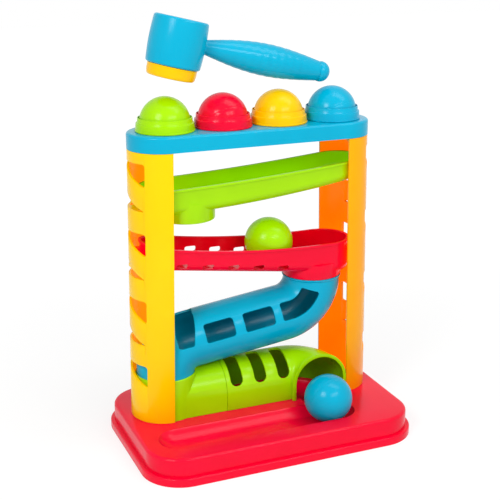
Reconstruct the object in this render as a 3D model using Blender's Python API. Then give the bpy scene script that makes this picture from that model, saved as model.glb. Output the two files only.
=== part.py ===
"""Ball pounding bench: a moulded toy tower. A hammer drives four balls through soft collars in the deck,
and they roll down two ramps, a chute and a tunnel into the trough of the base.

X runs along the base, the front faces -Y and Z is up. The origin is on the floor, under the base's middle.
"""
import bpy
import bmesh
from math import atan, cos, degrees, pi, radians, sin, sqrt
from mathutils import Matrix, Vector

MM = 0.001

# General fits
FIT_GAP = 0.3 * MM
CUT_OVERRUN = 3 * MM
SHARP_ANGLE = 35
WELD_SINK = 0.5 * MM
WELD_REACH = 0.002 * MM
BALL_DIAMETER = 45 * MM
BALL_PLAY = 1.2 * MM

# Base tray
BASE_END_MARGIN = 13 * MM
BASE_DEPTH = 168 * MM
BASE_CORNER = 37 * MM
BASE_HEIGHT = 24.6 * MM
FLANGE_HEIGHT = 7.5 * MM
FLANGE_STEP = 3.9 * MM
FLANGE_EDGE = 1.4 * MM
BASE_WALL = 2.4 * MM
BASE_EDGE = 3 * MM
TOWER_SETBACK = 20.5 * MM
TROUGH_MARGIN = 42.5 * MM
TROUGH_DEPTH = 10 * MM
TROUGH_PLAY = 1 * MM
TROUGH_INSET = 38 * MM
TRAY_BALL_INSET = 6.5 * MM
RIB_THICKNESS = 1.8 * MM
RIB_CLEARANCE = 4 * MM
RIB_COUNT = 4

# Towers: half-round columns, open towards each other, that lean out towards the foot
TOWER_PLAY = 0.2 * MM
TOWER_WALL = 2 * MM
TOWER_LEAN = 4 * MM
TOWER_PLATE = 2.2 * MM
PLATE_ANGLE = 88
WINDOW_REACH = 21 * MM
WINDOW_HEIGHT = 21 * MM
WINDOW_PITCH = 62 * MM
WINDOW_STRUT = 21 * MM
WINDOW_TOP = 9.5 * MM
WINDOW_CORNER = 2.2 * MM
WINDOW_COUNT = 4
BRACKET_WIDTH = 20 * MM
BRACKET_DEPTH = 5.4 * MM
BRACKET_HEIGHT = 3 * MM

# Deck
DECK_END_MARGIN = 7.95 * MM
DECK_SIDE_MARGIN = 4.8 * MM
DECK_HEIGHT = 14.2 * MM
DECK_CLEARANCE = 8 * MM
DECK_WALL = 2.2 * MM
DECK_EDGE = 2.4 * MM
BALL_RISE = 7.4 * MM

# Collars in the deck
COLLAR_GAP = 1.1 * MM
COLLAR_FLANGE_WIDTH = 2.2 * MM
COLLAR_FLANGE_HEIGHT = 1.4 * MM
COLLAR_LIP_WIDTH = 0.9 * MM
COLLAR_LIP_RISE = 7.6 * MM
COLLAR_CROWN_WALL = 1.2 * MM
COLLAR_CROWN_RISE = 12 * MM
COLLAR_NECK_WALL = 1.7 * MM
COLLAR_BEAD = 0.7 * MM
COLLAR_BEAD_HEIGHT = 1.5 * MM
FINGER_DROP = 12.5 * MM
FINGER_WALL = 1.5 * MM
FINGER_COUNT = 6
FINGER_SLIT = 1.6 * MM

# Ramps: open channels with rounded ends and a drop cup
RAMP_PLAY = 1.2 * MM
RAMP_WALL = 1.8 * MM
RAMP_CORNER = 9 * MM
RAMP_LIP = 0.9 * MM
RAMP_LIP_HEIGHT = 2.2 * MM
RAMP_END_GAP = 3 * MM
CUP_INSET = 18.2 * MM
CUP_SWELL = 0.5 * MM
RAMP_BALL_X = 18 * MM
LUG_WIDTH = 16 * MM
LUG_HEIGHT = 4 * MM
LUG_SEAT = 2.2 * MM
UPPER_CLEARANCE = 21.8 * MM
UPPER_FLOOR_SLOPE_SHARE = 0.09
UPPER_FLOOR_RADIUS = 1250 * MM
UPPER_DEPTH = 23.2 * MM
UPPER_RIM_SLOPE_SHARE = 0.065
UPPER_RIM_RADIUS = 2500 * MM
UPPER_CUP_DROP = 12.8 * MM
MIDDLE_CLEARANCE = 12.5 * MM
MIDDLE_FLOOR_SLOPE_SHARE = -0.135
MIDDLE_FLOOR_RADIUS = 20000 * MM
MIDDLE_DEPTH = 22.5 * MM
MIDDLE_RIM_SLOPE_SHARE = -0.072
MIDDLE_RIM_RADIUS = 830 * MM
MIDDLE_END_INSET = 8 * MM
SKIRT_OVERLAP = 3.6 * MM
MIDDLE_SLOT_PITCH = 24.6 * MM
MIDDLE_SLOT_LENGTH = 12 * MM
MIDDLE_SLOT_FRONT_RISE = 8 * MM
MIDDLE_SLOT_BACK_RISE = 11.6 * MM
MIDDLE_STRIP_WIDTH = 18 * MM
MIDDLE_SLOT_CORNER = 4 * MM
MIDDLE_SLOT_COUNT = 5
MIDDLE_SLOT_INSET = 5 * MM
SKIRT_WALL = 1.4 * MM
SKIRT_FIT = 0.7 * MM

# Chute: a bent tube in a front and a rear shell, split along its middle
CHUTE_PLAY = 2.5 * MM
CHUTE_WALL = 2 * MM
CHUTE_CLEARANCE = 1.57 * MM
CHUTE_NECK = 4.2 * MM
CHUTE_HEAD_THROAT = 7.5 * MM
CHUTE_SLOPE_SHARE = 0.13
CHUTE_TAIL_INSET = 2 * MM
CHUTE_TAIL_THROAT = 1 * MM
CHUTE_TAIL_RISE = 11.5 * MM
CHUTE_SPIGOT_STEP = 1.1 * MM
CHUTE_SPIGOT_HEIGHT = 4 * MM
CHUTE_WINDOW_LENGTH = 27.5 * MM
CHUTE_WINDOW_PITCH = 38.9 * MM
CHUTE_WINDOW_START = 74.7 * MM
CHUTE_WINDOW_COUNT = 3
CHUTE_BEND_WINDOW_START = 16.5 * MM
CHUTE_BEND_WINDOW_LENGTH = 46.5 * MM
CHUTE_WINDOW_LOW_ANGLE = 8
CHUTE_WINDOW_HIGH_ANGLE = 44
CHUTE_TAIL_WINDOW_ANGLE = 125

# Tunnel on the base
TUNNEL_PLAY = 2.5 * MM
TUNNEL_WALL = 2 * MM
TUNNEL_AXIS_RISE = 3.4 * MM
TUNNEL_THROAT = 1.2 * MM
TUNNEL_MOUTH_INSET = 29 * MM
TUNNEL_RIM = 1.1 * MM
TUNNEL_RIM_LENGTH = 3.5 * MM
TUNNEL_SLOT_WIDTH = 12 * MM
TUNNEL_SLOT_PITCH = 24 * MM
TUNNEL_SLOT_COUNT = 3
TUNNEL_SLOT_LOW_ANGLE = 15
TUNNEL_SLOT_HIGH_ANGLE = 98
SLOT_END_ANGLES = (22.5, 45, 90)
INLET_LENGTH = 51 * MM
INLET_STEP = 0.5 * MM
INLET_CUP_WALL = 1.3 * MM
INLET_CUP_EDGE = 1 * MM
INLET_CUP_HEIGHT = 12.5 * MM
TAB_LENGTH = 12 * MM
TAB_DEPTH = 9 * MM
TAB_HEIGHT = 2.4 * MM

# Pegs on the towers and the tunnel, and the sockets that they are pushed into
PEG_RADIUS = 2 * MM
PEG_LENGTH = 7 * MM
PEG_TIP = 0.6 * MM
SOCKET_WALL = 1.2 * MM
TONGUE_ANGLES = (-62, 0, 62)
TONGUE_HALF_ANGLE = 9
TONGUE_LENGTH = 6 * MM
DECK_PEG_INSET = 4.5 * MM
DECK_PEG_ANGLE = 30

# Hammer
HAMMER_INSET = 16 * MM
HAMMER_RISE = 68.4 * MM
HAMMER_TILT = 13.4
HEAD_RADIUS = 25 * MM
HEAD_HALF_HEIGHT = 21 * MM
HEAD_EDGE = 5 * MM
HEAD_TAPER = 0.8 * MM
HEAD_WALL = 3 * MM
CAP_RADIUS = 21.8 * MM
CAP_DROP = 10.5 * MM
CAP_EDGE = 2.6 * MM
CAP_TAPER = 0.5 * MM
CAP_PLUG = 5 * MM
NECK_RADIUS = 6.2 * MM
GRIP_RADIUS = 13.3 * MM
HANDLE_END = 148.6 * MM
HANDLE_TENON = 8 * MM
KNOB_RADIUS = 9 * MM
KNOB_GROOVE = 1.2 * MM
KNOB_LENGTH = 13 * MM
DOME_ANGLES = (30, 55, 75, 88)
GRIP_PEAK_SHARE = 0.4
GRIP_FALL_SHARE = 2.2

# Facets
ROUND_STEPS = 16
PEG_STEPS = 8
BALL_RINGS = 8
SEAT_STEPS = 3
SLOT_STEPS = 5
HANDLE_STEPS = 10
CORNER_STEPS = 5
EDGE_STEPS = 2
RAMP_END_STEPS = 10
RAMP_SIDE_STEPS = 5
HEAD_BEND_STEPS = 7
TAIL_BEND_STEPS = 5
RUN_STEPS = 3
MOUTH_BEND_STEPS = 7

# Worked out from the sizes above: balls, collars and deck
BALL_COLOURS = ("green", "red", "yellow", "blue")
BALL_RADIUS = BALL_DIAMETER / 2
COLLAR_NECK_RADIUS = BALL_RADIUS + COLLAR_NECK_WALL
COLLAR_FLANGE_RADIUS = COLLAR_NECK_RADIUS + COLLAR_FLANGE_WIDTH
COLLAR_LIP_RADIUS = COLLAR_NECK_RADIUS + COLLAR_LIP_WIDTH
COLLAR_CROWN_RADIUS = BALL_RADIUS + COLLAR_CROWN_WALL
HOLE_RADIUS = COLLAR_NECK_RADIUS + FIT_GAP
BALL_PITCH = 2 * COLLAR_FLANGE_RADIUS + COLLAR_GAP
DECK_BALL_REACH = (len(BALL_COLOURS) - 1) / 2 * BALL_PITCH
DECK_BALL_XS = [k * BALL_PITCH - DECK_BALL_REACH for k in range(len(BALL_COLOURS))]
DECK_DEPTH = 2 * (COLLAR_FLANGE_RADIUS + DECK_SIDE_MARGIN)
DECK_LENGTH = 2 * (DECK_BALL_REACH + COLLAR_FLANGE_RADIUS + DECK_END_MARGIN)

# Places along the base
TOWER_RADIUS = DECK_DEPTH / 2 - TOWER_PLAY
TOWER_TOP_REACH = (DECK_LENGTH - DECK_DEPTH) / 2
TOWER_FOOT_REACH = TOWER_TOP_REACH + TOWER_LEAN
DECK_PEG_RING = TOWER_RADIUS - DECK_PEG_INSET
BASE_LENGTH = 2 * (TOWER_FOOT_REACH + TOWER_RADIUS + BASE_END_MARGIN)
RAMP_REACH = TOWER_TOP_REACH - RAMP_END_GAP
CUP_REACH = RAMP_REACH - CUP_INSET
CHUTE_TAIL_REACH = TOWER_FOOT_REACH - CHUTE_TAIL_INSET
TUNNEL_SEAM = INLET_LENGTH - CHUTE_TAIL_REACH
TUNNEL_MOUTH_X = TOWER_FOOT_REACH - TUNNEL_MOUTH_INSET
TRAY_BALL_X = TUNNEL_MOUTH_X - TRAY_BALL_INSET
TROUGH_LEFT = TROUGH_INSET - BASE_LENGTH / 2
TROUGH_Y = TROUGH_MARGIN - BASE_DEPTH / 2
HAMMER_X = HAMMER_INSET - TOWER_TOP_REACH

# Radii that follow the balls
RAMP_HALF = BALL_RADIUS + RAMP_PLAY + RAMP_WALL
CUP_RADIUS = RAMP_HALF + CUP_SWELL
CUP_BORE = RAMP_HALF - RAMP_WALL - 2 * FIT_GAP
CHUTE_RADIUS = BALL_RADIUS + CHUTE_PLAY + CHUTE_WALL
CHUTE_SPIGOT_RADIUS = CHUTE_RADIUS - CHUTE_SPIGOT_STEP
CHUTE_HEAD_BEND = CHUTE_RADIUS + CHUTE_HEAD_THROAT
CHUTE_TAIL_BEND = CHUTE_RADIUS + CHUTE_TAIL_THROAT
TROUGH_RADIUS = BALL_RADIUS + TROUGH_PLAY
TUNNEL_RADIUS = BALL_RADIUS + TUNNEL_PLAY + TUNNEL_WALL
TUNNEL_BEND = TUNNEL_RADIUS + TUNNEL_THROAT
INLET_RADIUS = TUNNEL_RADIUS - INLET_STEP
INLET_CUP_RADIUS = CHUTE_RADIUS + FIT_GAP + INLET_CUP_WALL

# Heights, from the base up
TROUGH_FLOOR_Z = BASE_HEIGHT - TROUGH_DEPTH
TROUGH_AXIS_Z = TROUGH_FLOOR_Z + TROUGH_RADIUS
TUNNEL_AXIS_Z = TROUGH_FLOOR_Z + BALL_RADIUS + TUNNEL_AXIS_RISE
CHUTE_TAIL_Z = TUNNEL_AXIS_Z + CHUTE_TAIL_RISE
INLET_RIM_Z = CHUTE_TAIL_Z + INLET_CUP_HEIGHT
CHUTE_RUN_RISE = CHUTE_SLOPE_SHARE * (CUP_REACH - CHUTE_HEAD_BEND - TUNNEL_SEAM)
CHUTE_LOW_Z = TUNNEL_AXIS_Z + TUNNEL_RADIUS + CHUTE_CLEARANCE + CHUTE_RADIUS
CHUTE_HEAD_Z = CHUTE_LOW_Z + CHUTE_RUN_RISE + CHUTE_HEAD_BEND + CHUTE_NECK
MIDDLE_CUP_BOTTOM = CHUTE_HEAD_Z - SKIRT_OVERLAP
MIDDLE_FLOOR_Z = CHUTE_HEAD_Z + MIDDLE_CLEARANCE
MIDDLE_RIM_Z = MIDDLE_FLOOR_Z + MIDDLE_DEPTH
UPPER_FLOOR_Z = MIDDLE_FLOOR_Z + BALL_DIAMETER + UPPER_CLEARANCE
UPPER_CUP_BOTTOM = UPPER_FLOOR_Z - UPPER_CUP_DROP
UPPER_RIM_Z = UPPER_FLOOR_Z + UPPER_DEPTH
DECK_BOTTOM = UPPER_FLOOR_Z + BALL_DIAMETER + DECK_CLEARANCE
DECK_TOP = DECK_BOTTOM + DECK_HEIGHT
DECK_BALL_Z = DECK_TOP + BALL_RISE
TOWER_FOOT_Z = BASE_HEIGHT + FIT_GAP
TOWER_TOP_Z = DECK_BOTTOM - FIT_GAP
HAMMER_Z = DECK_BALL_Z + HAMMER_RISE

COLOURS = {
    "red": ((0.80, 0.004, 0.03, 1), 0.28), "green": ((0.40, 0.78, 0.0, 1), 0.28),
    "blue": ((0.0, 0.42, 0.72, 1), 0.28), "yellow": ((1.0, 0.66, 0.0, 1), 0.30),
}


def material(colour):
    """The moulded plastic of one colour, made once."""
    name = "plastic_" + colour
    found = bpy.data.materials.get(name)
    if found:
        return found
    made = bpy.data.materials.new(name)
    made.use_nodes = True
    shader = made.node_tree.nodes["Principled BSDF"]
    shader.inputs["Base Color"].default_value = COLOURS[colour][0]
    shader.inputs["Roughness"].default_value = COLOURS[colour][1]
    return made


def finish(name, bm, colour, origin=(0, 0, 0)):
    """Turns a bmesh in world places into a named object whose origin is where asked."""
    bmesh.ops.recalc_face_normals(bm, faces=bm.faces)
    mesh = bpy.data.meshes.new(name)
    bmesh.ops.translate(bm, verts=bm.verts, vec=-Vector(origin))
    bm.to_mesh(mesh)
    bm.free()
    mesh.shade_smooth()
    mesh.set_sharp_from_angle(angle=radians(SHARP_ANGLE))
    mesh.materials.append(material(colour))
    made = bpy.data.objects.new(name, mesh)
    made.location = origin
    bpy.context.scene.collection.objects.link(made)
    return made


def weld(mesh):
    """Merges points that a Boolean left on top of each other."""
    bm = bmesh.new()
    bm.from_mesh(mesh)
    bmesh.ops.remove_doubles(bm, verts=bm.verts, dist=WELD_REACH)
    bm.to_mesh(mesh)
    bm.free()


def combine(target, tools, operation):
    """Applies one exact Boolean per tool to the target and removes the tool."""
    for tool in tools:
        bpy.context.view_layer.update()
        step = target.modifiers.new("combine", "BOOLEAN")
        step.operation = operation
        step.object = tool
        step.solver = "EXACT"
        depsgraph = bpy.context.evaluated_depsgraph_get()
        mesh = bpy.data.meshes.new_from_object(target.evaluated_get(depsgraph))
        target.modifiers.clear()
        weld(mesh)
        old = target.data
        name = old.name
        target.data = mesh
        bpy.data.meshes.remove(old)
        mesh.name = name
        bpy.data.objects.remove(tool)
    target.data.shade_smooth()
    target.data.set_sharp_from_angle(angle=radians(SHARP_ANGLE))
    return target


def loft(bm, rings, ladder=0):
    """Skins rings of as many points each and caps both ends: flat, or by rungs between mirrored points."""
    rows = [[bm.verts.new(point) for point in ring] for ring in rings]
    for low, high in zip(rows[:-1], rows[1:]):
        for k in range(len(low)):
            after = (k + 1) % len(low)
            bm.faces.new((low[k], low[after], high[after], high[k]))
    if not ladder:
        bm.faces.new(list(reversed(rows[0])))
        bm.faces.new(rows[-1])
        return bm
    count = len(rows[0])
    for row in (rows[0], rows[-1]):
        for k in range(ladder // 2, ladder // 2 + count // 2):
            places = (k, k + 1, ladder - k - 1, ladder - k)
            rung = [row[place % count] for place in places]
            bm.faces.new([vert for i, vert in enumerate(rung) if vert not in rung[:i]])
    return bm


def arc(cx, cy, radius, start, end, steps):
    """Points of an arc in a plane, ends included, with its angles in degrees."""
    turn = [radians(start + (end - start) * k / steps) for k in range(steps + 1)]
    return [(cx + radius * cos(a), cy + radius * sin(a)) for a in turn]


def rounded_rectangle(length, depth, corner, inset, steps=CORNER_STEPS):
    """Outline of a rounded rectangle about the origin, drawn in by an inset."""
    x, y, r = length / 2 - corner, depth / 2 - corner, corner - inset
    return (arc(x, y, r, 0, 90, steps) + arc(-x, y, r, 90, 180, steps)
            + arc(-x, -y, r, 180, 270, steps) + arc(x, -y, r, 270, 360, steps))


def stadium(left, right, radius, steps=ROUND_STEPS // 2, side_steps=1):
    """Outline of a channel with round ends between two end centres, its sides cut into steps."""
    xs = [right + (left - right) * k / side_steps for k in range(1, side_steps)]
    return (arc(right, 0, radius, -90, 90, steps) + [(x, radius) for x in xs]
            + arc(left, 0, radius, 90, 270, steps) + [(x, -radius) for x in reversed(xs)])


def turned(name, profile, colour, origin=(0, 0, 0), steps=ROUND_STEPS, turn=Matrix()):
    """Revolves a profile of (radius, height) about Z; its first and last points lie on the axis or meet."""
    bm = bmesh.new()
    ring = bool(profile[0][0] > 0)
    rows = []
    for r, z in profile:
        if r == 0:
            rows.append([bm.verts.new((0, 0, z))])
        else:
            rows.append([bm.verts.new((r * cos(2 * pi * k / steps), r * sin(2 * pi * k / steps), z))
                         for k in range(steps)])
    pairs = list(zip(rows[:-1], rows[1:])) + ([(rows[-1], rows[0])] if ring else [])
    for low, high in pairs:
        for k in range(steps):
            corners = [low[k % len(low)], low[(k + 1) % len(low)]]
            corners += [high[(k + 1) % len(high)], high[k % len(high)]]
            unique = [v for i, v in enumerate(corners) if v not in corners[:i]]
            bm.faces.new(unique)
    bmesh.ops.transform(bm, matrix=Matrix.Translation(origin) @ turn, verts=bm.verts)
    return finish(name, bm, colour, origin)


def cylinder(radius, low, high, x, y, steps=ROUND_STEPS, colour="red"):
    """An upright round bar, as a tool or a boss."""
    bm = loft(bmesh.new(), [[(x + px, y + py, z) for px, py in arc(0, 0, radius, 0, 360, steps)[:-1]]
                            for z in (low, high)])
    return finish("tool", bm, colour)


def box(low, high, colour="red"):
    """A straight block between two corners."""
    bm = bmesh.new()
    bmesh.ops.create_cube(bm, size=1)
    for vert in bm.verts:
        vert.co = [low[k] + (high[k] - low[k]) * (vert.co[k] + 0.5) for k in range(3)]
    return finish("tool", bm, colour)


def sweep(frames, sections, name, colour):
    """Skins sections of (side, up) points along frames of (centre, side, up)."""
    rings = []
    for (centre, side, up), section in zip(frames, sections):
        rings.append([centre + side * s + up * u for s, u in section])
    return finish(name, loft(bmesh.new(), rings), colour)


def shell_section(outer, inner, start, end, steps):
    """A curved wall's section: out along the outer radius and back along the inner."""
    return arc(0, 0, outer, start, end, steps) + arc(0, 0, inner, end, start, steps)


def ball(name, x, y, z, colour):
    """A ball, closed and round."""
    profile = [(BALL_RADIUS * sin(pi * k / BALL_RINGS), -BALL_RADIUS * cos(pi * k / BALL_RINGS))
               for k in range(BALL_RINGS + 1)]
    profile[0] = (0, -BALL_RADIUS)
    profile[-1] = (0, BALL_RADIUS)
    return turned(name, profile, colour, origin=(x, y, z))


def peg(x, y, root, way, colour):
    """A round peg with a chamfered tip, pointing up or down from its root."""
    end = root + way * PEG_LENGTH
    sizes = [(PEG_RADIUS, root), (PEG_RADIUS, end - way * PEG_TIP), (PEG_RADIUS - PEG_TIP, end)]
    bm = loft(bmesh.new(), [[(x + px, y + py, z) for px, py in arc(0, 0, r, 0, 360, PEG_STEPS)[:-1]]
                            for r, z in sizes])
    return finish("tool", bm, colour)


# Base tray

def roll_path():
    """The way the ball takes over the base: under the tunnel, round its bend and out to the trough."""
    y = TOWER_SETBACK
    bend_x = TUNNEL_MOUTH_X - TUNNEL_BEND
    points = [(-CHUTE_TAIL_REACH, y)]
    points += arc(bend_x, y - TUNNEL_BEND, TUNNEL_BEND, 90, 0, CORNER_STEPS)
    points += [(TUNNEL_MOUTH_X, TROUGH_Y)]
    return points


def capsule_run(points, radius, axis_z):
    """A round-ended bar that follows a level path."""
    count = len(points)
    rings = []
    for k, (x, y) in enumerate(points):
        before, after = points[max(k - 1, 0)], points[min(k + 1, count - 1)]
        ahead = Vector((after[0] - before[0], after[1] - before[1], 0)).normalized()
        side = Vector((ahead.y, -ahead.x, 0))
        stretch = 1
        if 0 < k < count - 1:
            step = (Vector(points[k]) - Vector(before)).normalized()
            stretch = 1 / step.dot(ahead.xy)
        rings.append([Vector((x, y, axis_z)) + side * (s * stretch) + Vector((0, 0, u))
                      for s, u in arc(0, 0, radius, 0, 360, ROUND_STEPS)[:-1]])
    return finish("tool", loft(bmesh.new(), rings), "red")


def dish(radius, x, y, axis_z):
    """A sphere that rounds the end of a sunk channel."""
    rings = BALL_RINGS
    profile = [(radius * sin(pi * k / rings), -radius * cos(pi * k / rings)) for k in range(rings + 1)]
    profile[0], profile[-1] = (0, -radius), (0, radius)
    return turned("tool", profile, "red", origin=(x, y, axis_z))


def base_rings():
    """Rings of the open-bottomed tray, from its ceiling round the rim to its top."""
    wall = FLANGE_STEP + BASE_WALL
    steps = [(wall, BASE_HEIGHT - BASE_WALL), (wall, 0), (0, 0), (0, FLANGE_HEIGHT - FLANGE_EDGE),
             (FLANGE_EDGE, FLANGE_HEIGHT), (FLANGE_STEP, FLANGE_HEIGHT)]
    for r, z in arc(FLANGE_STEP + BASE_EDGE, BASE_HEIGHT - BASE_EDGE, BASE_EDGE, 180, 90, EDGE_STEPS):
        steps.append((r, z))
    return [[(x, y, z) for x, y in rounded_rectangle(BASE_LENGTH, BASE_DEPTH, BASE_CORNER, inset)]
            for inset, z in steps]


def tab_peg_places():
    """Where the tabs behind the tunnel plug into the base."""
    y = TOWER_SETBACK + TUNNEL_RADIUS + TAB_DEPTH / 2
    return [(x, y) for x in (TUNNEL_SEAM - TAB_LENGTH, TUNNEL_SEAM + TAB_LENGTH,
                             TUNNEL_MOUTH_X - TUNNEL_BEND - TAB_LENGTH)]


def build_base():
    """The red tray: stepped rim, sunk channels, ribs and sockets under its top."""
    base = finish("base_tray", loft(bmesh.new(), base_rings()), "red")
    ceiling = BASE_HEIGHT - WELD_SINK
    y0 = TOWER_SETBACK
    trough = [(TROUGH_LEFT, TROUGH_Y), (TUNNEL_MOUTH_X, TROUGH_Y)]
    ends = [(TROUGH_LEFT, TROUGH_Y), (TUNNEL_MOUTH_X, TROUGH_Y), (-CHUTE_TAIL_REACH, y0)]
    outer = TROUGH_RADIUS + BASE_WALL
    lid = ((-BASE_LENGTH, -BASE_DEPTH, ceiling), (BASE_LENGTH, BASE_DEPTH, ceiling + BASE_LENGTH))
    shells = [capsule_run(path, outer, TROUGH_AXIS_Z) for path in (trough, roll_path())]
    shells += [dish(outer, x, y, TROUGH_AXIS_Z) for x, y in ends]
    for piece in shells:
        combine(piece, [box(*lid)], "DIFFERENCE")
        combine(base, [piece], "UNION")
    reach = BASE_LENGTH / 2 - FLANGE_STEP - BASE_WALL / 2
    depth = BASE_DEPTH / 2 - FLANGE_STEP - BASE_WALL / 2
    ribs = [box((-reach, y - RIB_THICKNESS / 2, RIB_CLEARANCE), (reach, y + RIB_THICKNESS / 2, ceiling))
            for y in (TROUGH_Y - outer, (TROUGH_Y + y0) / 2, y0 + outer)]
    span = 2 * reach / (RIB_COUNT + 1)
    for k in range(1, RIB_COUNT + 1):
        x = -reach + k * span
        ribs.append(box((x - RIB_THICKNESS / 2, -depth, RIB_CLEARANCE),
                        (x + RIB_THICKNESS / 2, depth, ceiling)))
    inside = rounded_rectangle(BASE_LENGTH, BASE_DEPTH, BASE_CORNER, FLANGE_STEP + BASE_WALL / 2)
    room = [[(x, y, z) for x, y in inside] for z in (0, BASE_HEIGHT)]
    for rib in ribs:
        combine(rib, [finish("tool", loft(bmesh.new(), room), "red")], "INTERSECT")
    combine(base, ribs, "UNION")
    places = tab_peg_places()
    bore = PEG_RADIUS + FIT_GAP
    socket_low = BASE_HEIGHT - PEG_LENGTH - FIT_GAP
    sockets = [cylinder(bore + SOCKET_WALL, socket_low, ceiling, x, y, PEG_STEPS) for x, y in places]
    combine(base, sockets, "UNION")
    cuts = [capsule_run(path, TROUGH_RADIUS, TROUGH_AXIS_Z) for path in (trough, roll_path())]
    cuts += [dish(TROUGH_RADIUS, x, y, TROUGH_AXIS_Z) for x, y in ends]
    cuts += [cylinder(bore, socket_low - CUT_OVERRUN, BASE_HEIGHT + CUT_OVERRUN, x, y, PEG_STEPS)
             for x, y in places]
    cuts += [tongue(side, angle, FIT_GAP) for side in (-1, 1) for angle in TONGUE_ANGLES]
    return combine(base, cuts, "DIFFERENCE")


# Towers

def tower_x(z):
    """How far the tower's open side stands from the middle at a height: it leans out towards its foot."""
    share = (z - TOWER_FOOT_Z) / (TOWER_TOP_Z - TOWER_FOOT_Z)
    return TOWER_FOOT_REACH + (TOWER_TOP_REACH - TOWER_FOOT_REACH) * share


def half_round(outer, low, high, side, inner=0):
    """A half-round wall that follows the tower's lean, or a plate if no inner radius is given."""
    rings = []
    steps = ROUND_STEPS
    reach = 90 if inner else PLATE_ANGLE
    for z in (low, high):
        section = arc(0, 0, outer, -reach, reach, steps)
        if inner:
            section += arc(0, 0, inner, reach, -reach, steps)
        rings.append([(side * (tower_x(z) + x), TOWER_SETBACK + y, z) for x, y in section])
    return loft(bmesh.new(), rings)


def tongue(side, angle, play=0):
    """A tongue of the tower's wall that goes down through the base; with play, the slot for it."""
    turn = TONGUE_HALF_ANGLE + degrees(play / TOWER_RADIUS)
    outer = TOWER_RADIUS - WELD_SINK + play
    inner = TOWER_RADIUS - TOWER_WALL + WELD_SINK / 2 - play
    section = shell_section(outer, inner, angle - turn, angle + turn, 2)
    low = TOWER_FOOT_Z - TONGUE_LENGTH - play
    high = TOWER_FOOT_Z + (CUT_OVERRUN if play else WELD_SINK)
    rings = [[(side * (tower_x(z) + x), TOWER_SETBACK + y, z) for x, y in section] for z in (low, high)]
    return finish("tool", loft(bmesh.new(), rings), "yellow")


def rounded_polygon(corners, radius, steps=EDGE_STEPS):
    """Rounds every corner of a polygon given counter-clockwise."""
    points = []
    count = len(corners)
    for k in range(count):
        here = Vector(corners[k])
        before = (Vector(corners[k - 1]) - here).normalized()
        after = (Vector(corners[(k + 1) % count]) - here).normalized()
        half = before.angle(after) / 2
        centre = here + (before + after).normalized() * (radius / sin(half))
        reach = radius / sin(half) * cos(half)
        start = (here + before * reach - centre).normalized()
        end = (here + after * reach - centre).normalized()
        points += [centre + start.slerp(end, j / steps).normalized() * radius for j in range(steps + 1)]
    return points


def window(side, corners):
    """A cutter that pierces the tower's wall along X, seen from the side as a rounded triangle."""
    shape = rounded_polygon(corners, WINDOW_CORNER)
    low = side * TOWER_FOOT_REACH
    high = side * (TOWER_FOOT_REACH + TOWER_RADIUS + CUT_OVERRUN)
    rings = [[(x, TOWER_SETBACK + p.x, p.y) for p in shape] for x in (low, high)]
    return finish("tool", loft(bmesh.new(), rings), "red")


def windows(side):
    """Pairs of triangles about a slanting strut, up the tower; the lowest has no rear one."""
    made = []
    for k in range(WINDOW_COUNT):
        top = TOWER_TOP_Z - WINDOW_TOP - k * WINDOW_PITCH
        low = top - WINDOW_HEIGHT
        made.append(window(side, [(-WINDOW_REACH, top), (-WINDOW_REACH, low), (WINDOW_REACH, top)]))
        if k < WINDOW_COUNT - 1:
            foot = low - WINDOW_STRUT
            made.append(window(side, [(WINDOW_REACH, foot), (WINDOW_REACH, foot + WINDOW_HEIGHT),
                                      (-WINDOW_REACH, foot)]))
    return made


def deck_peg_places(side):
    """Where a tower's top plugs into the deck."""
    return [(side * (TOWER_TOP_REACH + DECK_PEG_RING * cos(radians(a))),
             TOWER_SETBACK + DECK_PEG_RING * sin(radians(a))) for a in (-DECK_PEG_ANGLE, DECK_PEG_ANGLE)]


def bracket(side, z):
    """The ledge inside a tower's wall that a ramp's lug lies on."""
    x = tower_x(z)
    far = x + TOWER_RADIUS - TOWER_WALL / 2
    near = x + TOWER_RADIUS - TOWER_WALL - BRACKET_DEPTH
    y = BRACKET_WIDTH / 2
    far_side = x + sqrt((TOWER_RADIUS - TOWER_WALL / 2) ** 2 - y ** 2)
    rings = [[(side * near, TOWER_SETBACK - y, h), (side * far_side, TOWER_SETBACK - y, h),
              (side * far, TOWER_SETBACK, h), (side * far_side, TOWER_SETBACK + y, h),
              (side * near, TOWER_SETBACK + y, h)] for h in (z - BRACKET_HEIGHT, z)]
    return finish("tool", loft(bmesh.new(), rings), "yellow")


def build_tower(side, name):
    """One half-round column with its lattice of windows, top plate, pegs, tongues and ledges."""
    inner = TOWER_RADIUS - TOWER_WALL
    tower = finish(name, half_round(TOWER_RADIUS, TOWER_FOOT_Z, TOWER_TOP_Z, side, inner), "yellow")
    plate = TOWER_RADIUS - TOWER_WALL / 2
    top_high = TOWER_TOP_Z - WELD_SINK
    top = finish("tool", half_round(plate, top_high - TOWER_PLATE, top_high, side), "yellow")
    clear = BALL_RADIUS + BALL_PLAY * 2
    ball_x = side * DECK_BALL_XS[-1]
    combine(top, [cylinder(clear, TOWER_TOP_Z - TOWER_PLATE - CUT_OVERRUN, TOWER_TOP_Z + CUT_OVERRUN,
                           ball_x, TOWER_SETBACK)], "DIFFERENCE")
    pegs = [peg(x, y, top_high - TOWER_PLATE / 2, 1, "yellow") for x, y in deck_peg_places(side)]
    tongues = [tongue(side, angle) for angle in TONGUE_ANGLES]
    ledges = [bracket(side, lug_z(ramp, side) - FIT_GAP) for ramp in (UPPER, MIDDLE)]
    combine(tower, [top] + pegs + tongues + ledges, "UNION")
    return combine(tower, windows(side), "DIFFERENCE")


# Deck and collars

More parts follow.
